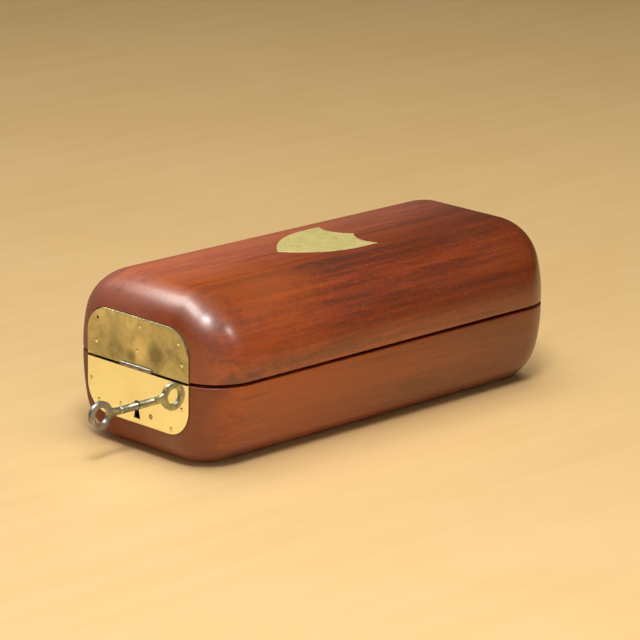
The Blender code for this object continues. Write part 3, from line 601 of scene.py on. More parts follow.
def show(obj, body, finish, slot, *nodes, angle=32):
    """Gives a piece its material, shading and body, and hides the CAD nodes that it stands for. Its slot
    argument is not used.
    """
    obj.data.materials.clear()
    obj.data.materials.append(finish)
    if obj.type == "MESH":
        obj.data.shade_smooth()
        obj.data.set_sharp_from_angle(angle=math.radians(angle))
    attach(obj, body)
    if nodes:
        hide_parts(*nodes)
    return obj


def face_outwards(obj):
    """Makes a body's faces point outwards."""
    shape = bmesh.new()
    shape.from_mesh(obj.data)
    bmesh.ops.recalc_face_normals(shape, faces=shape.faces)
    shape.to_mesh(obj.data)
    shape.free()
    return obj


def soften(obj, width, segments=3):
    """Rounds every edge sharper than 40 degrees."""
    modifier = obj.modifiers.new("soften", "BEVEL")
    modifier.width = width
    modifier.segments = segments
    modifier.limit_method = "ANGLE"
    modifier.angle_limit = math.radians(40)
    mesh = evaluated_mesh(obj)
    obj.modifiers.clear()
    obj.data = mesh
    return obj


def softened(node, width, segments=3):
    """A piece with a CAD node's own shape, its edges rounded."""
    return soften(solid(node + "_fine", frame["nodes"][node].data.copy()), width, segments)


def rod(name, start, length, radius, turn=(0, 0, 0), sides=48):
    """A plain cylinder, mostly a cutter."""
    return turned(name, [(0, length), (radius, length), (radius, 0), (0, 0)], sides, start, turn)


def slotted(obj, place, direction, radius, size=0.0005, spin=30):
    """Cuts a screwdriver slot, as wide as deep, across a head with its face at a place and in a direction."""
    slot = block("slot", (-radius * 1.3, -size / 2, -size), (radius * 1.3, size / 2, 0.002))
    turn = Vector(direction).to_track_quat("Z", "Y").to_matrix().to_4x4()
    slot.matrix_world = Matrix.Translation(place) @ turn @ Matrix.Rotation(math.radians(spin), 4, "Z")
    return cut(obj, settle(slot))


# The case

LOW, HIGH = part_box("lower_case")
LID_LOW, LID_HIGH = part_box("lid")
CASE_WIDTH = HIGH.x - LOW.x
CASE_LENGTH = 0.290
CASE_HEIGHT = LID_HIGH.z
SEAM_Z = (HIGH.z + LID_LOW.z) / 2
SEAM_GAP = LID_LOW.z - HIGH.z
PLAN_CORNER, CORNER_SHRINK, CORNER_LEAST = 0.0283, 0.4, 0.0039
# Each edge is a quarter ellipse: how far it comes in, and over what height, at the sides and at the ends
LID_SIDE, LID_END = (0.0369, 0.0470), (0.0244, 0.0231)
BASE_SIDE, BASE_END = (0.0291, 0.0504), (0.0192, 0.0231)
ARRIS, GROOVE = 0.0005, 0.0006


def edge_inset(edge, rise):
    """How far a rounded edge has come in at a height above its start."""
    depth, height = edge
    along = min(max(rise / height, 0.0), 1.0)
    return depth * (1 - math.sqrt(1 - along * along))


def case_ring(side, end, total, distance, inset):
    """The case's outline at a distance from the seam's middle, of the whole from there to the flat face."""
    in_x = edge_inset(side, distance - (total - side[1])) + inset
    in_y = edge_inset(end, distance - (total - end[1])) + inset
    radius = max(PLAN_CORNER - CORNER_SHRINK * (in_x + in_y), CORNER_LEAST)
    return rounded_rectangle(CASE_WIDTH / 2 - in_x, CASE_LENGTH / 2 - in_y, radius, along=(14, 36))


def case_half(name, side, end, total, upward):
    """One half of the case, from the seam outwards, with a softened arris at the seam."""
    arris_steps, levels, least_step = 4, 34, 0.0004
    steps = []
    for i in range(arris_steps + 1):
        turn = math.pi / 2 * i / arris_steps
        steps.append((SEAM_GAP / 2 + GROOVE + ARRIS * (1 - math.cos(turn)), ARRIS * (1 - math.sin(turn))))
    start = total - side[1]
    for i in range(levels + 1):
        distance = start + side[1] * math.sin(math.pi / 2 * i / levels)
        if distance > steps[-1][0] + least_step:
            steps.append((distance, 0.0))
    sign = 1 if upward else -1
    rings = [level(case_ring(side, end, total, d, soft), SEAM_Z + sign * d) for d, soft in steps]
    return loft(name, rings if upward else list(reversed(rings)))


def well(name, half_width, front, back, low, high, corner):
    """A block with round corners, centred on X."""
    outline = rounded_rectangle(half_width, (back - front) / 2, corner, (front + back) / 2)
    return slab(name, outline, low, high)


LOCK_LOW, LOCK_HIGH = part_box("lock_plate")
PLATE_LOW, PLATE_HIGH = LOCK_LOW.z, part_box("catch_plate")[1].z
PLATE_FACE, PLATE_THICK = LOCK_LOW.y, LOCK_HIGH.y - LOCK_LOW.y
PLATE_HALF, PLATE_CORNER = LOCK_HIGH.x, 0.0169
PLATE_PLAY, INLAY_PLAY, LEAF_PLAY = 0.00028, 0.00016, HAIR * 2
KEYHOLE_Z = 0.0302


def plate_outline(low, high, round_low, grow=0.0):
    """An end plate's outline in x and z: square corners at the seam, large round ones at the other edge."""
    half, radius, steps = PLATE_HALF + grow, PLATE_CORNER + grow, 16
    low, high = low - grow, high + grow
    if round_low:
        points = arc((-half + radius, low + radius), radius, 180, 270, steps)
        points += arc((half - radius, low + radius), radius, 270, 360, steps)
        return points + [(half, high), (-half, high)]
    points = [(-half, low), (half, low)]
    points += arc((half - radius, high - radius), radius, 0, 90, steps)
    return points + arc((-half + radius, high - radius), radius, 90, 180, steps)


def stand(obj, y):
    """Turns a piece drawn in x and y upright, its local +Z towards the front, at this y."""
    obj.location = (0, y, 0)
    obj.rotation_euler = FACE_FRONT
    return settle(obj)


def plate_seat(name, low, high, round_low):
    """The recess for an end plate, which reaches past the case's face."""
    past_face = 0.006
    outline = plate_outline(low, high, round_low, PLATE_PLAY)
    return stand(slab(name, outline, -PLATE_THICK - HAIR, past_face), PLATE_FACE)


def shield_outline(grow=0.0):
    """A heater shield: its point towards the lock, and three spikes with hollows between at its far edge."""
    tip, shoulder = (0.0, -0.0343), (0.0250, 0.0100)
    spike, middle = (0.0251, 0.0244), (0.0, 0.0292)
    half = bezier(tip, (0.014, -0.024), (0.025, -0.008), shoulder, 20) + [shoulder]
    half += bezier(spike, (0.019, 0.0203), (0.008, 0.0208), middle, 18) + [middle]
    points = half + [(-x, y) for x, y in reversed(half[1:-1])]
    mean_reach = 0.028
    scale = 1 + grow / mean_reach
    return [(x * scale, y * scale) for x, y in points]


def leaf_recess(word, upward):
    """The cutter for a hinge leaf's bed, which reaches past the seam and the case's far end."""
    low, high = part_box(f"hinge_{word}_{'upper' if upward else 'lower'}")
    depth, past, far_y = SEAM_GAP / 2 + 0.0015, 0.01, 0.155
    bottom, top = (-past, depth) if upward else (-depth, past)
    near_corner = (low.x - LEAF_PLAY, low.y - LEAF_PLAY, SEAM_Z + bottom)
    return block(f"recess_{word}", near_corner, (high.x + LEAF_PLAY, far_y, SEAM_Z + top))


def room_for(node, front, bottom, play, top):
    """The cutter for a CAD node's room in the wood, open at its front and its bottom or top."""
    low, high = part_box(node)
    return block(node + "_room", (low.x - play, front, bottom), (high.x + play, high.y + play, top))


def make_lower_case():
    """The lower half, hollowed for its lining and cut for the lock plate, the lock and the hinges."""
    body = case_half("lower_case_wood", BASE_SIDE, BASE_END, SEAM_Z, False)
    low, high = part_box("case_lining")
    play, lock_play, past_seam = 0.0002, 0.0004, 0.07
    hollow = well("hollow", high.x + play, low.y - play, high.y + play, low.z - play, past_seam, 0.0159)
    seat = plate_seat("seat", PLATE_LOW, SEAM_Z + 0.01, True)
    mortise = room_for("lock_case", -0.1440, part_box("lock_case")[0].z - lock_play, lock_play, past_seam)
    body = cut(body, hollow, seat, mortise, leaf_recess("left", False), leaf_recess("right", False))
    show(body, "case", BASE_WOOD, "mahogany", "lower_case", angle=38)


def make_lid():
    """The upper half, hollowed and cut for the catch plate, the staple, the shield and the hinges."""
    body = case_half("lid_wood", LID_SIDE, LID_END, CASE_HEIGHT - SEAM_Z, True)
    low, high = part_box("case_lining")
    roof, past_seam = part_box("lid_lining")[1].z + 0.0003, 0.04
    hollow = well("hollow", high.x + 0.0007, low.y - 0.0009, high.y + 0.0009, past_seam, roof, 0.016)
    seat = plate_seat("seat", SEAM_Z - 0.01, PLATE_HIGH, False)
    inlay = slab("inlay", shield_outline(INLAY_PLAY), CASE_HEIGHT - 0.0014, 0.12)
    room = room_for("catch_staple", -0.1434, past_seam, 0.0012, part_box("catch_staple")[1].z + 0.0004)
    body = cut(body, hollow, seat, inlay, room, leaf_recess("left", True), leaf_recess("right", True))
    show(body, "lid", LID_WOOD, "mahogany", "lid", angle=38)


def make_shield():
    """The brass inlay, flush with the lid's top, its rim a little worn."""
    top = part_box("shield")[1].z
    rings = [(top - 0.0012, 0.0), (top - 0.00012, 0.0), (top - 0.00003, -0.00005), (top, -0.00014)]
    plate = loft("shield_inlay", [level(shield_outline(grow), z) for z, grow in rings])
    show(plate, "lid", SHIELD_BRASS, "tarnished_brass", "shield", angle=14)


# End plates, lip and key


def keyhole_outline():
    """A round top and a flared slot, in x and z."""
    radius, neck, foot, foot_z = 0.0029, 0.0015, 0.0028, 0.0223
    lean = math.degrees(math.asin(neck / radius))
    return arc((0, KEYHOLE_Z), radius, lean - 90, 270 - lean, 30) + [(-foot, foot_z), (foot, foot_z)]


def end_plate(name, low, high, round_low, holes):
    """A plate with a bevelled rim, drawn in x and z with its face at local z = 0."""
    rim, drop = 0.00045, 0.00035
    rings = [(-PLATE_THICK, 0.0), (-drop, 0.0), (-drop * 0.35, -rim * 0.55), (0, -rim)]
    plate = loft(name, [level(plate_outline(low, high, round_low, grow), z) for z, grow in rings])
    cutters = [slab(f"{name}_hole_{i}", outline, -0.01, 0.01) for i, outline in enumerate(holes)]
    return stand(cut(plate, *cutters), PLATE_FACE)


# Screw places in x and z
UPPER_SCREWS = [(-0.0352, 0.0613), (0.0022, 0.0776), (0.0352, 0.0741), (0.0380, 0.0622), (0.0001, 0.0629)]
LOST_SCREW = (-0.0339, 0.0757)
LOWER_SCREWS = [(-0.0398, 0.0380), (0.0381, 0.0363), (-0.0331, 0.0263), (0.0291, 0.0226), (-0.0142, 0.0281)]
RING_SCREW = (0.0118, 0.0259)


def screw(name, at, body, radius, turn, finish):
    """A slotted countersunk head, slightly domed, just proud of the plate."""
    x, z = at
    dome = 0.00014
    profile = [
        (0, dome), (radius * 0.5, dome * 0.8), (radius * 0.85, dome * 0.3), (radius, -0.00004),
        (radius * 0.72, -0.0010), (0, -0.0010),
    ]
    head = turned(name, profile, 28)
    slot = block("slot", (-radius * 1.2, -0.00018, dome - 0.00060), (radius * 1.2, 0.00016, 0.001))
    slot.rotation_euler = (0, 0, math.radians(turn))
    head = cut(head, settle(slot))
    head.location = (x, PLATE_FACE, z)
    head.rotation_euler = FACE_FRONT
    show(settle(head), body, finish, "polished_brass")


def make_end_plates():
    gap, radius, lock_radius, lost_radius = SEAM_GAP / 2, 0.00112, 0.00125, 0.0009
    seats = [circle(radius + 0.00012, at, 28) for at in LOWER_SCREWS]
    seats.append(circle(lock_radius + 0.0003, RING_SCREW, 32))
    lock = end_plate("lock_plate_face", PLATE_LOW, SEAM_Z - gap, True, [keyhole_outline()] + seats)
    show(lock, "case", LOCK_BRASS, "polished_brass", "lock_plate", angle=14)
    seats = [circle(radius + 0.00010, at, 28) for at in UPPER_SCREWS] + [circle(lost_radius, LOST_SCREW, 24)]
    catch = end_plate("catch_plate_face", SEAM_Z + gap, PLATE_HIGH, False, seats)
    worn = (((0.0020, PLATE_FACE, 0.0628), 0.0105),)
    stained = (((-0.0046, PLATE_FACE, 0.0588), 0.0052), ((0.0165, PLATE_FACE, 0.0630), 0.0090))
    finish = tarnished_brass("catch_plate_brass", worn, stained)
    show(catch, "lid", finish, "tarnished_brass", "catch_plate", angle=14)
    random.seed(4)
    for plate, body, places, turns in (
        ("catch", "lid", UPPER_SCREWS, (0, 180)), ("lock", "case", LOWER_SCREWS, (60, 120)),
    ):
        for number, at in enumerate(places, 1):
            screw(f"{plate}_plate_screw_{number}", at, body, radius, random.uniform(*turns), LOCK_BRASS)
    screw("lock_case_screw", RING_SCREW, "case", lock_radius, 15, OLD_BRASS)


def make_thumb_lip():
    """A half-round bar with rounded ends, thickest in its middle."""
    low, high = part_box("thumb_lip")
    size, centre_z = high - low, (low.z + high.z) / 2
    count, sides, end_length = 40, 20, 0.0013
    rings = []
    for i in range(count + 1):
        along = i / count
        end = min(along, 1 - along) * size.x
        swell = math.sqrt(max(1 - max(1 - end / end_length, 0) ** 2, 0.0004))
        x, reach, half = low.x + size.x * along, size.y * swell, size.z / 2 * (0.35 + 0.65 * swell)
        angles = [-math.pi / 2 + math.pi * j / (sides - 1) for j in range(sides)]
        rings.append([(x, high.y - reach * math.cos(a), centre_z + half * math.sin(a)) for a in angles])
    bar = face_outwards(loft("thumb_lip_bar", rings))
    finish = worn_steel("lip_steel", (0.40, 0.36, 0.31), (0.20, 0.17, 0.14))
    show(bar, "lid", finish, "worn_steel", "thumb_lip", angle=40)


def make_key():
    """The steel key: a flat ring bow flaring out of a flat neck, a round shank, and a bit inside the lock."""
    low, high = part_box("key")
    outer = (high.z - low.z) / 2
    axis_z = high.z - outer
    reach = PLATE_FACE - low.y - outer
    shank = [
        (0, 0.0137), (0.0011, 0.0136), (0.0018, 0.0133), (0.00225, 0.0127), (0.00235, 0.0121),
        (0.0023, 0.0113), (0.0022, 0.0050), (0.0023, 0.0044), (0.0023, -0.0101), (0.0021, -0.0103),
        (0.0013, -0.0103), (0.0013, -0.0040), (0, -0.0040),
    ]
    barrel = turned("key_steel", shank, 64, (0, PLATE_FACE, axis_z), FACE_FRONT)
    neck = bezier((0.0033, 0.0078 - reach), (0.0024, -0.0180), (0.0019, -0.0168), (0.0019, -0.0118), 12)
    outline = arc((0, -reach), outer, 114, 426, 72) + neck + [(-x, y) for x, y in reversed(neck)]
    bow = flat("bow", [outline, circle(0.0047, (0, -reach), 56)], 0.0026, 0.0004)
    bow.rotation_euler = ALONG_X
    bow.location = (0, PLATE_FACE, axis_z)
    bit = block("bit", (-0.0010, -0.1415, axis_z - 0.0073), (0.0010, -0.1360, axis_z - 0.0015), 0.0002)
    ward = block("ward", (-0.002, -0.1393, axis_z - 0.009), (0.002, -0.1385, axis_z - 0.0050))
    key = join(barrel, settle(bow), cut(bit, ward))
    show(key, "lock_key", STEEL, "worn_steel", "key", angle=40)


def make_staple():
    """The link behind the catch plate that the bolt shoots through."""
    low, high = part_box("catch_staple")
    half, hole, hole_low, hole_high = (high.y - low.y) / 2, 0.0029, 0.0397, 0.0453
    ring = [(-half, low.z), (half, low.z), (half, high.z), (-half, high.z)]
    opening = [(-hole, hole_low), (hole, hole_low), (hole, hole_high), (-hole, hole_high)]
    plate = flat("catch_staple_link", [ring, opening], high.x - low.x, 0.0003)
    plate.location = ((low.x + high.x) / 2, (low.y + high.y) / 2, 0)
    plate.rotation_euler = FACE_SIDE
    show(settle(plate), "lid", BRIGHT_STEEL, "worn_steel", "catch_staple")


# Linings, partitions and trays


def make_linings():
    """Velvet linings, the trays with their pockets, and the wooden partitions."""
    low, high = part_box("case_lining")
    wall, floor, open_top, edge = 0.0020, 0.0015, 0.08, 0.0007
    shell = well("case_velvet", high.x, low.y, high.y, low.z, high.z, 0.0157)
    inside = well("inside", high.x - wall, low.y + wall, high.y - wall, low.z + floor, open_top, 0.0140)
    show(soften(cut(shell, inside), edge), "case", VELVET, "velvet", "case_lining")
    low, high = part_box("lid_lining")
    panel = well("lid_velvet", high.x, low.y, high.y, low.z, high.z, 0.010)
    show(soften(panel, edge), "lid", VELVET, "velvet", "lid_lining")
    tray_top, tray_corner, tray_edge = 0.06, 0.0137, 0.0011
    rear_low, rear_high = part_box("rear_tray")
    for node, half_width, front, back, bottom, corner in (
        ("front_tray", 0.0330, -0.1000, -0.0700, 0.0290, 0.006),
        ("rear_tray", 0.0360, rear_low.y + 0.0070, rear_high.y - 0.0072, 0.0160, 0.008),
    ):
        low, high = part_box(node)
        tray = well(node + "_velvet", high.x, low.y, high.y, low.z, high.z, tray_corner)
        pocket = well("pocket", half_width, front, back, bottom, tray_top, corner)
        show(soften(cut(tray, pocket), tray_edge, 4), "case", VELVET, "velvet", node)
    for node in ("front_partition", "rear_partition"):
        show(softened(node, 0.0009, 4), "case", INNER_WOOD, "mahogany", node)


# Gimbals


def fitted_screw(name, body, place, direction, profile, slot, spin):
    """A slotted screw in a face, its head looking along X or Z. The profile starts at its crown."""
    head = turned(name, profile, 32, place, (0, math.atan2(direction[0], direction[2]), 0))
    crown = Vector(place) + Vector(direction) * profile[0][1]
    slotted(head, crown, direction, max(radius for radius, _ in profile), slot, spin)
    show(head, body, BRIGHT_STEEL, "worn_steel")


def gimbal_bore(turn):
    """The cutter for the pivots' holes, right through along X or Y."""
    start = (-0.05, 0, GIMBAL_Z) if turn == ALONG_X else (0, 0.05, GIMBAL_Z)
    return rod("bore", start, 0.1, 0.0014, turn)


def make_brackets():
    """The two brackets, with their screws and the outer pivots."""
    dome = [(0, 0.0005), (0.0011, 0.0004), (0.0016, 0), (0.0014, -0.0006), (0, -0.0006)]
    pivot_profile = [
        (0, 0.0433), (0.0010, 0.0433), (0.0010, 0.0411), (0.0023, 0.0411), (0.0026, 0.0408), (0.0026, 0.0392),
        (0.0023, 0.0389), (0.0010, 0.0389), (0.0010, 0.0358), (0, 0.0350),
    ]
    screw_y, screw_z = 0.0045, 0.0345
    for word, side in (("left", -1), ("right", 1)):
        node = f"gimbal_bracket_{word}"
        show(softened(node, 0.0009, 4), "case", BRASS, "polished_brass", node)
        low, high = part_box(node)
        face = low.x if side > 0 else high.x
        for number, y in enumerate((-screw_y, screw_y), 1):
            name = f"{node}_screw_{number}"
            fitted_screw(name, "case", (face, y, screw_z), (-side, 0, 0), dome, 0.0004, 40 * number)
        pivot = f"outer_pivot_{word}"
        fine = turned(f"{pivot}_fine", pivot_profile, 64, (0, 0, GIMBAL_Z), (0, side * math.pi / 2, 0))
        show(fine, "case", BRIGHT_STEEL, "worn_steel", pivot)


def make_gimbal_ring():
    """The ring, with a shallow groove round its outer side, and the inner pivots."""
    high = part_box("gimbal_ring")[1]
    outer, half, inner, edge, groove = high.x, high.z - GIMBAL_Z, 0.0343, 0.0005, 0.00025
    profile = [
        (inner, half - edge), (inner + edge * 0.3, half - edge * 0.3), (inner + edge, half),
        (outer - edge, half), (outer - edge * 0.3, half - edge * 0.3), (outer, half - edge),
        (outer, edge * 2.4), (outer - groove, edge * 2), (outer - groove, -edge * 2), (outer, -edge * 2.4),
        (outer, edge - half), (outer - edge * 0.3, edge * 0.3 - half), (outer - edge, -half),
        (inner + edge, -half), (inner + edge * 0.3, edge * 0.3 - half), (inner, edge - half),
    ]
    ring = turned("gimbal_ring_fine", profile, 160, (0, 0, GIMBAL_Z))
    ring = cut(ring, gimbal_bore(ALONG_X), gimbal_bore(FACE_FRONT))
    show(ring, "gimbal_ring", BRASS, "polished_brass", "gimbal_ring", angle=25)
    reach, head = 0.0390, 0.0022
    profile = [
        (0, reach), (0.0019, reach), (head, 0.0387), (head, 0.0379), (0.0010, 0.0379), (0.0010, 0.0300),
        (0, 0.0294),
    ]
    for word, side in (("front", -1), ("back", 1)):
        turn = (-side * math.pi / 2, 0, 0)
        pivot = turned(f"inner_pivot_{word}_fine", profile, 64, (0, 0, GIMBAL_Z), turn)
        slotted(pivot, (0, side * reach, GIMBAL_Z), (0, side, 0), head, spin=50 + 30 * side)
        show(pivot, "gimbal_ring", BRIGHT_STEEL, "worn_steel", f"inner_pivot_{word}")


# Bowl, bezel, crystal, dial and hands


def make_bowl():
    """A turned bowl with a bead round it, bored for the inner pivots and the winding key."""
    top, shoulder, bottom = 0.0090, -0.0100, -0.0230
    radius, wall, flat_part = 0.0310, 0.0016, 0.0180

    def side(r, f, low):
        angles = [math.pi / 2 * i / 20 for i in range(21)]
        curve = [(f + (r - f) * math.cos(a), shoulder - (shoulder - low) * math.sin(a)) for a in angles]
        return [(r, top)] + curve + [(0, low)]

    inner = side(radius - wall, flat_part - wall, bottom + wall)
    outer = side(radius, flat_part, bottom)
    bead = [
        (radius - 0.0002, top), (radius, top - 0.0002), (radius, 0.0035), (radius + 0.0004, 0.0031),
        (radius + 0.0005, 0.0026), (radius + 0.0004, 0.0021), (radius, 0.0017),
    ]
    body = turned("bowl_brass", list(reversed(inner)) + bead + outer[1:], 128, (0, 0, GIMBAL_Z))
    low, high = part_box("fusee")
    winding = rod("winding", ((low.x + high.x) / 2, (low.y + high.y) / 2, GIMBAL_Z - 0.030), 0.014, 0.0030)
    body = cut(body, gimbal_bore(FACE_FRONT), winding)
    show(body, "chronometer", BRASS, "polished_brass", "bowl", angle=25)


def make_bezel():
    """A moulded bezel and a slightly domed crystal."""
    moulding = [
        (0.0289, 0), (0.0310, 0), (0.0314, 0.0003), (0.0315, 0.0008), (0.0314, 0.0013), (0.0310, 0.0017),
        (0.0308, 0.0022), (0.0303, 0.0027), (0.0296, 0.00285), (0.0285, 0.0027), (0.0274, 0.00235),
        (0.0272, 0.0021), (0.0274, 0.0019), (0.0289, 0.0019),
    ]
    foot = (0, 0, GIMBAL_Z + 0.0093)
    bezel = face_outwards(turned("bezel_fine", list(reversed(moulding)), 144, foot))
    show(bezel, "chronometer", BRASS, "polished_brass", "bezel", angle=40)
    low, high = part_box("crystal")
    shares = [i / 10 for i in range(11)]
    top = [(high.x * share, 0.0014 - 0.0009 * share**2) for share in shares]
    under = [(high.x * share, 0.0004 - 0.0004 * share**2) for share in reversed(shares)]
    glass = turned("crystal_fine", top + under, 128, (0, 0, low.z))
    show(glass, "chronometer", GLASS, "crystal_glass", "crystal", angle=50)


MARK_HEIGHT = 0.00005


def numeral(text, place, size, turn):
    """A numeral as a thin flat mesh, turned about Z."""
    curve = bpy.data.curves.new("numeral", "FONT")
    curve.body = text
    curve.size = size
    curve.align_x = "CENTER"
    curve.align_y = "CENTER"
    curve.extrude = 0.00003
    curve.resolution_u = 4
    drawn = link(bpy.data.objects.new("numeral", curve))
    drawn.location = place
    drawn.rotation_euler = (0, 0, turn)
    bpy.context.view_layer.update()
    mesh = evaluated_mesh(drawn)
    mesh.transform(drawn.matrix_world)
    bpy.data.objects.remove(drawn)
    return mesh


def radial(angle):
    """The direction at an angle clockwise from +Y."""
    turn = math.radians(angle)
    return Vector((math.sin(turn), math.cos(turn), 0))


def tick(shape, centre, angle, inner, outer, width, z):
    """A radial bar, clockwise from +Y."""
    out = radial(angle)
    across = Vector((out.y, -out.x, 0)) * (width / 2)
    base = Vector((*centre, z))
    near, far = base + out * inner, base + out * outer
    corners = (near - across, near + across, far + across, far - across)
    lower = [shape.verts.new(c) for c in corners]
    upper = [shape.verts.new(c + Vector((0, 0, MARK_HEIGHT))) for c in corners]
    shape.faces.new(upper)
    shape.faces.new(list(reversed(lower)))
    for i in range(4):
        j = (i + 1) % 4
        shape.faces.new((lower[i], lower[j], upper[j], upper[i]))


def ring_line(shape, centre, radius, width, z, start=0, sweep=360):
    """A circle or an arc as a raised line, clockwise from +Y."""
    steps = 120
    corners = ((-1, 0), (1, 0), (1, MARK_HEIGHT), (-1, MARK_HEIGHT))
    base = Vector((*centre, z))
    rows = []
    for i in range(steps + 1):
        out = radial(start + sweep * i / steps)
        places = [base + out * (radius + side * width / 2) + Vector((0, 0, rise)) for side, rise in corners]
        rows.append([shape.verts.new(place) for place in places])
    for a, b in zip(rows, rows[1:]):
        for i in range(4):
            j = (i + 1) % 4
            shape.faces.new((a[i], a[j], b[j], b[i]))
    if sweep < 360:
        shape.faces.new(rows[0])
        shape.faces.new(list(reversed(rows[-1])))


def numbered(shape, centre, angle, reach, text, size, z):
    """A numeral at an angle and a reach from a centre, its foot towards the centre."""
    place = Vector((*centre, z)) + radial(angle) * reach
    shape.from_mesh(numeral(text, place, size, -math.radians(angle)))


def make_hour_ring(marks, z):
    """The minute track and the hours."""
    centre, inner, outer, reach = (0, 0), 0.0252, 0.0264, 0.0229
    for radius in (outer, inner):
        ring_line(marks, centre, radius, 0.00010, z)
    for minute in range(60):
        tick(marks, centre, minute * 6, inner, outer, 0.00012 if minute % 5 else 0.00030, z)
    roman = ("XII", "I", "II", "III", "IIII", "V", "VI", "VII", "VIII", "IX", "X", "XI")
    for hour, text in enumerate(roman):
        numbered(marks, centre, hour * 30, reach if hour % 6 else reach + 0.0003, text, 0.0046, z)


def make_subdials(marks, seconds, reserve, z):
    """Seconds by tens, and the up-and-down scale of 56 hours over 240 degrees."""
    line, stroke, edge = 0.00008, 0.00010, 0.0074
    for radius in (edge, 0.0068):
        ring_line(marks, seconds, radius, line, z)
    for second in range(60):
        tick(marks, seconds, second * 6, edge - (0.0006 if second % 5 else 0.0010), edge, stroke, z)
    for tens in range(1, 7):
        numbered(marks, seconds, tens * 60, 0.0053, str(tens * 10), 0.0019, z)
    edge, start, sweep, full = 0.0069, -120, 240, 56
    ring_line(marks, reserve, edge, line, z, start, sweep)
    for hours in range(0, full + 1, 2):
        angle = start + sweep * hours / full
        tick(marks, reserve, angle, 0.0063 if hours % 8 else 0.0059, edge, stroke, z)
        if hours % 8 == 0:
            numbered(marks, reserve, angle, 0.0049, str(hours), 0.0015, z)


def make_dial():
    """A silvered plate with two sunk subdials, and all its filled marks as one piece."""
    low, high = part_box("dial")
    radius, thick, edge, sunk_by, embedded = high.x, high.z - low.z, 0.0002, 0.00012, 0.00001
    seconds, reserve = (0, SECONDS_Y), (0, RESERVE_Y)
    profile = [(0, 0), (radius - edge, 0), (radius, -edge), (radius, -thick), (0, -thick)]
    face = turned("dial_fine", profile, 144, (0, 0, high.z))
    cutters = []
    for at, reach in ((seconds, 0.0079), (reserve, 0.0074)):
        cutters.append(rod("sink", (*at, high.z - sunk_by), 0.002, reach, sides=96))
    for at, reach in (((0, 0), 0.0012), (seconds, 0.0009), (reserve, 0.0009)):
        cutters.append(rod("hole", (*at, low.z - 0.001), 0.003, reach, sides=32))
    show(cut(face, *cutters), "chronometer", SILVERED, "silvered_dial", "dial", angle=20)
    marks = bmesh.new()
    make_hour_ring(marks, high.z - embedded)
    make_subdials(marks, seconds, reserve, high.z - sunk_by - embedded)
    show(solid("dial_markings", marks), "chronometer", WAX, "blued_steel")


def spade_hand(node, body, length, width, tail, hub, centre_y, angle):
    """A spade hand with softened edges and a boss, clockwise from +Y by its angle."""
    spade = 0.72 * length

    def at(across, along):
        return (width * across, spade + width * along)

    throat, belly, stem = at(0.62, -3.2), at(2.6, 0.6), (width * 0.28, length * 0.92)
    half = [throat] + bezier(throat, at(1.0, -2.8), at(3.1, -1.6), belly, 8)[1:]
    half += bezier(belly, at(1.9, 2.2), at(0.5, 2.4), stem, 8) + [stem, (0.00004, length)]
    lean = math.degrees(math.asin(min(width * 0.9 / hub, 0.95)))
    rounded = arc((0, 0), hub, 90 - lean, lean - 90, 14)
    right = list(reversed(half)) + rounded + [(width * 1.1, -tail * 0.9), (width * 0.8, -tail)]
    outline = right + [(-x, y) for x, y in reversed(right)]
    blade = flat(node + "_blade", [outline], 0.00030, 0.00005)
    profile = [(0, 0.00055), (hub * 0.42, 0.00050), (hub * 0.5, 0.0003), (hub * 0.5, -0.0001), (0, -0.0001)]
    made = join(blade, turned("boss", profile, 32))
    low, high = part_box(node)
    made.location = (0, centre_y, (low.z + high.z) / 2)
    made.rotation_euler = (0, 0, -math.radians(angle))
    show(settle(made), body, BLUED, "blued_steel", node)


def make_hands():
    for hand in (
        ("hour_hand", "hour_hand", 0.0150, 0.00058, 0.0034, 0.0021, 0, 305),
        ("minute_hand", "centre_train", 0.0225, 0.00042, 0.0050, 0.0016, 0, 60),
        ("seconds_hand", "seconds_train", 0.0068, 0.00018, 0.0026, 0.0008, SECONDS_Y, 0),
        ("reserve_hand", "reserve_hand", 0.0062, 0.00018, 0.0020, 0.0008, RESERVE_Y, -120),
    ):
        spade_hand(*hand)


# Accessories, lock and hinges


def make_winding_key():
    """The winding key in the front tray: a turned shaft with a bored end, and a cross handle."""
    axis = (0, -0.0850, 0.0340)
    profile = [
        (0, 0.0300), (0.0016, 0.0299), (0.0022, 0.0294), (0.0024, 0.0284), (0.0020, 0.0276), (0.0022, 0.0270),
        (0.0030, 0.0266), (0.0030, 0.0010), (0.0026, 0.0004), (0.0026, -0.0004), (0.0029, -0.0010),
        (0.0026, -0.0018), (0.0019, -0.0026), (0.0019, -0.0222), (0.0016, -0.0230), (0.0009, -0.0230),
        (0.0009, -0.0150), (0, -0.0150),
    ]
    shaft = turned("winding_key_fine", profile, 64, axis, ALONG_X)
    reach = 0.0120
    half = [
        (0, reach), (0.0012, reach - 0.0002), (0.0020, reach - 0.0009), (0.0024, reach - 0.0022),
        (0.0019, reach - 0.0040), (0.0016, 0.0030),
    ]
    ends = half + [(0.0020, 0.0)] + [(radius, -height) for radius, height in reversed(half)]
    handle = turned("handle", ends, 48, (-0.0190, *axis[1:]), (-math.pi / 2, 0, 0))
    show(join(shaft, handle), "case", BRASS, "polished_brass", "winding_key", angle=28)


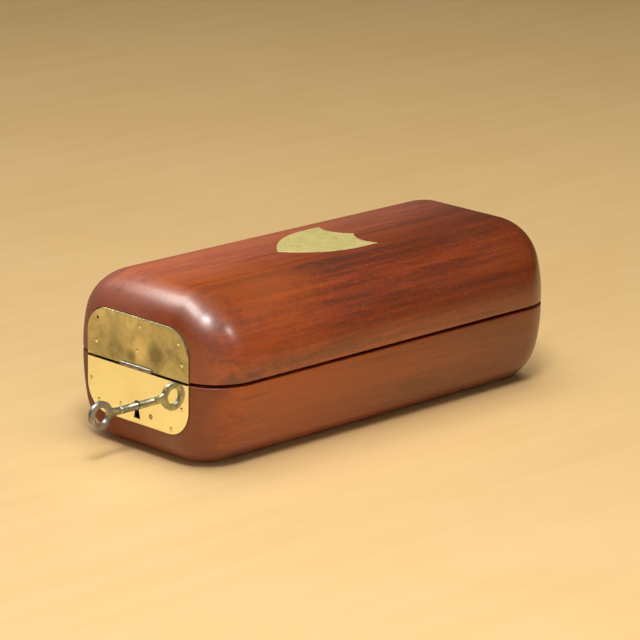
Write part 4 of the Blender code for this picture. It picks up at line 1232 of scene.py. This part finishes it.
def make_locks():
    """The gimbal lock, the case's lock and its bolt."""
    show(softened("gimbal_lock_arm", 0.0004), "gimbal_lock", BRASS, "polished_brass", "gimbal_lock_arm")
    low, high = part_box("gimbal_lock_screw")
    middle, top = ((low.x + high.x) / 2, (low.y + high.y) / 2), 0.0038
    profile = [
        (0, top), (0.0021, 0.0037), (0.0026, 0.0033), (0.0028, 0.0024), (0.0011, 0.0023), (0.0011, 0), (0, 0),
    ]
    lock_screw = turned("gimbal_lock_screw_fine", profile, 64, (*middle, low.z))
    slotted(lock_screw, (*middle, low.z + top), (0, 0, 1), 0.0026)
    show(lock_screw, "case", BRIGHT_STEEL, "worn_steel", "gimbal_lock_screw")
    show(softened("lock_case", 0.0004), "case", MOVEMENT_BRASS, "polished_brass", "lock_case")
    show(softened("lock_bolt", 0.0003), "lock_bolt", BRIGHT_STEEL, "worn_steel", "lock_bolt")


HINGE_X, HINGE_Y, HINGE_LENGTH = 0.0210, 0.1473, 0.0260
KNUCKLE, LEAF_THICK, HINGE_BORE = 0.0020, 0.0012, 0.0011


def hinge_leaf(node, left, knuckles, low_z):
    """A leaf with its knuckles, each a start and a width along X, bored for the pin."""
    right, front, rim = left + HINGE_LENGTH, HINGE_Y - 0.0120, CASE_LENGTH / 2 - 0.0001
    neck, inset, edge = HINGE_Y - 0.0002, 0.0002, 0.00018
    outline = [(left, front), (right, front), (right, rim)]
    barrels = []
    for start, wide in reversed(knuckles):
        near, far = start + inset, start + wide - inset
        outline += [(far, rim), (far, neck), (near, neck), (near, rim)]
        profile = [(0, wide), (KNUCKLE - edge, wide), (KNUCKLE, wide - edge), (KNUCKLE, edge)]
        profile += [(KNUCKLE - edge, 0), (0, 0)]
        barrels.append(turned("barrel", profile, 48, (start, HINGE_Y, SEAM_Z), ALONG_X))
    plate = slab(node + "_fine", outline + [(left, rim)], low_z, low_z + LEAF_THICK)
    bore = rod("bore", (left - 0.001, HINGE_Y, SEAM_Z), HINGE_LENGTH + 0.002, HINGE_BORE, ALONG_X)
    return face_outwards(cut(join(plate, *barrels), bore))


def make_hinges():
    """Two butt hinges, each of two leaves with three screws and a pin."""
    third, gap = HINGE_LENGTH / 3, 0.0003
    countersunk = [(0, 0.00012), (0.0010, 0.00008), (0.0014, 0), (0.0011, -0.0008), (0, -0.0008)]
    radius, edge = 0.0008, 0.0002
    pin_profile = [
        (0, HINGE_LENGTH), (radius - edge, HINGE_LENGTH), (radius, HINGE_LENGTH - edge), (radius, edge),
        (radius - edge, 0), (0, 0),
    ]
    for word, side in (("left", -1), ("right", 1)):
        middle = side * HINGE_X
        left = middle - HINGE_LENGTH / 2
        outer = [(left, third - gap), (left + HINGE_LENGTH - third + gap, third - gap)]
        for half, body, knuckles, low_z, face, up in (
            ("lower", "case", outer, SEAM_Z - SEAM_GAP / 2 - LEAF_THICK, SEAM_Z - SEAM_GAP / 2, 1),
            ("upper", "lid", [(left + third, third)], SEAM_Z + SEAM_GAP / 2, SEAM_Z + SEAM_GAP / 2, -1),
        ):
            node = f"hinge_{word}_{half}"
            show(hinge_leaf(node, left, knuckles, low_z), body, BRASS, "polished_brass", node)
            for number, x in enumerate((left + 0.0045, middle, left + HINGE_LENGTH - 0.0045), 1):
                place, name = (x, HINGE_Y - 0.0072, face), f"{node}_screw_{number}"
                fitted_screw(name, body, place, (0, 0, up), countersunk, 0.0003, 35 * number + 20)
        node = f"hinge_{word}_pin"
        pin = turned(node + "_fine", pin_profile, 32, (left, HINGE_Y, SEAM_Z), ALONG_X)
        show(pin, "case", BRIGHT_STEEL, "worn_steel", node)


# Stage


def make_floor():
    bpy.ops.mesh.primitive_plane_add(size=6)
    floor = bpy.context.object
    floor.name = "floor"
    floor.data.materials.append(floor_finish())


def finish_cad_nodes():
    """Gives every CAD node that still shows its slot's node material."""
    finishes = {
        "mahogany": INNER_WOOD, "velvet": VELVET, "polished_brass": MOVEMENT_BRASS,
        "tarnished_brass": OLD_BRASS, "worn_steel": STEEL, "blued_steel": BLUED, "silvered_dial": SILVERED,
        "crystal_glass": GLASS,
    }
    slots = {row["node"]: row["material_slot"] for row in frame["record"]["subparts"]}
    for name, node in frame["nodes"].items():
        node.data.materials.clear()
        node.data.materials.append(finishes[slots[name]])


make_camera()
make_lights()
make_floor()
make_lower_case()
make_lid()
make_shield()
make_end_plates()
make_thumb_lip()
make_key()
make_staple()
make_linings()
make_brackets()
make_gimbal_ring()
make_bowl()
make_bezel()
make_dial()
make_hands()
make_winding_key()
make_locks()
make_hinges()
finish_cad_nodes()
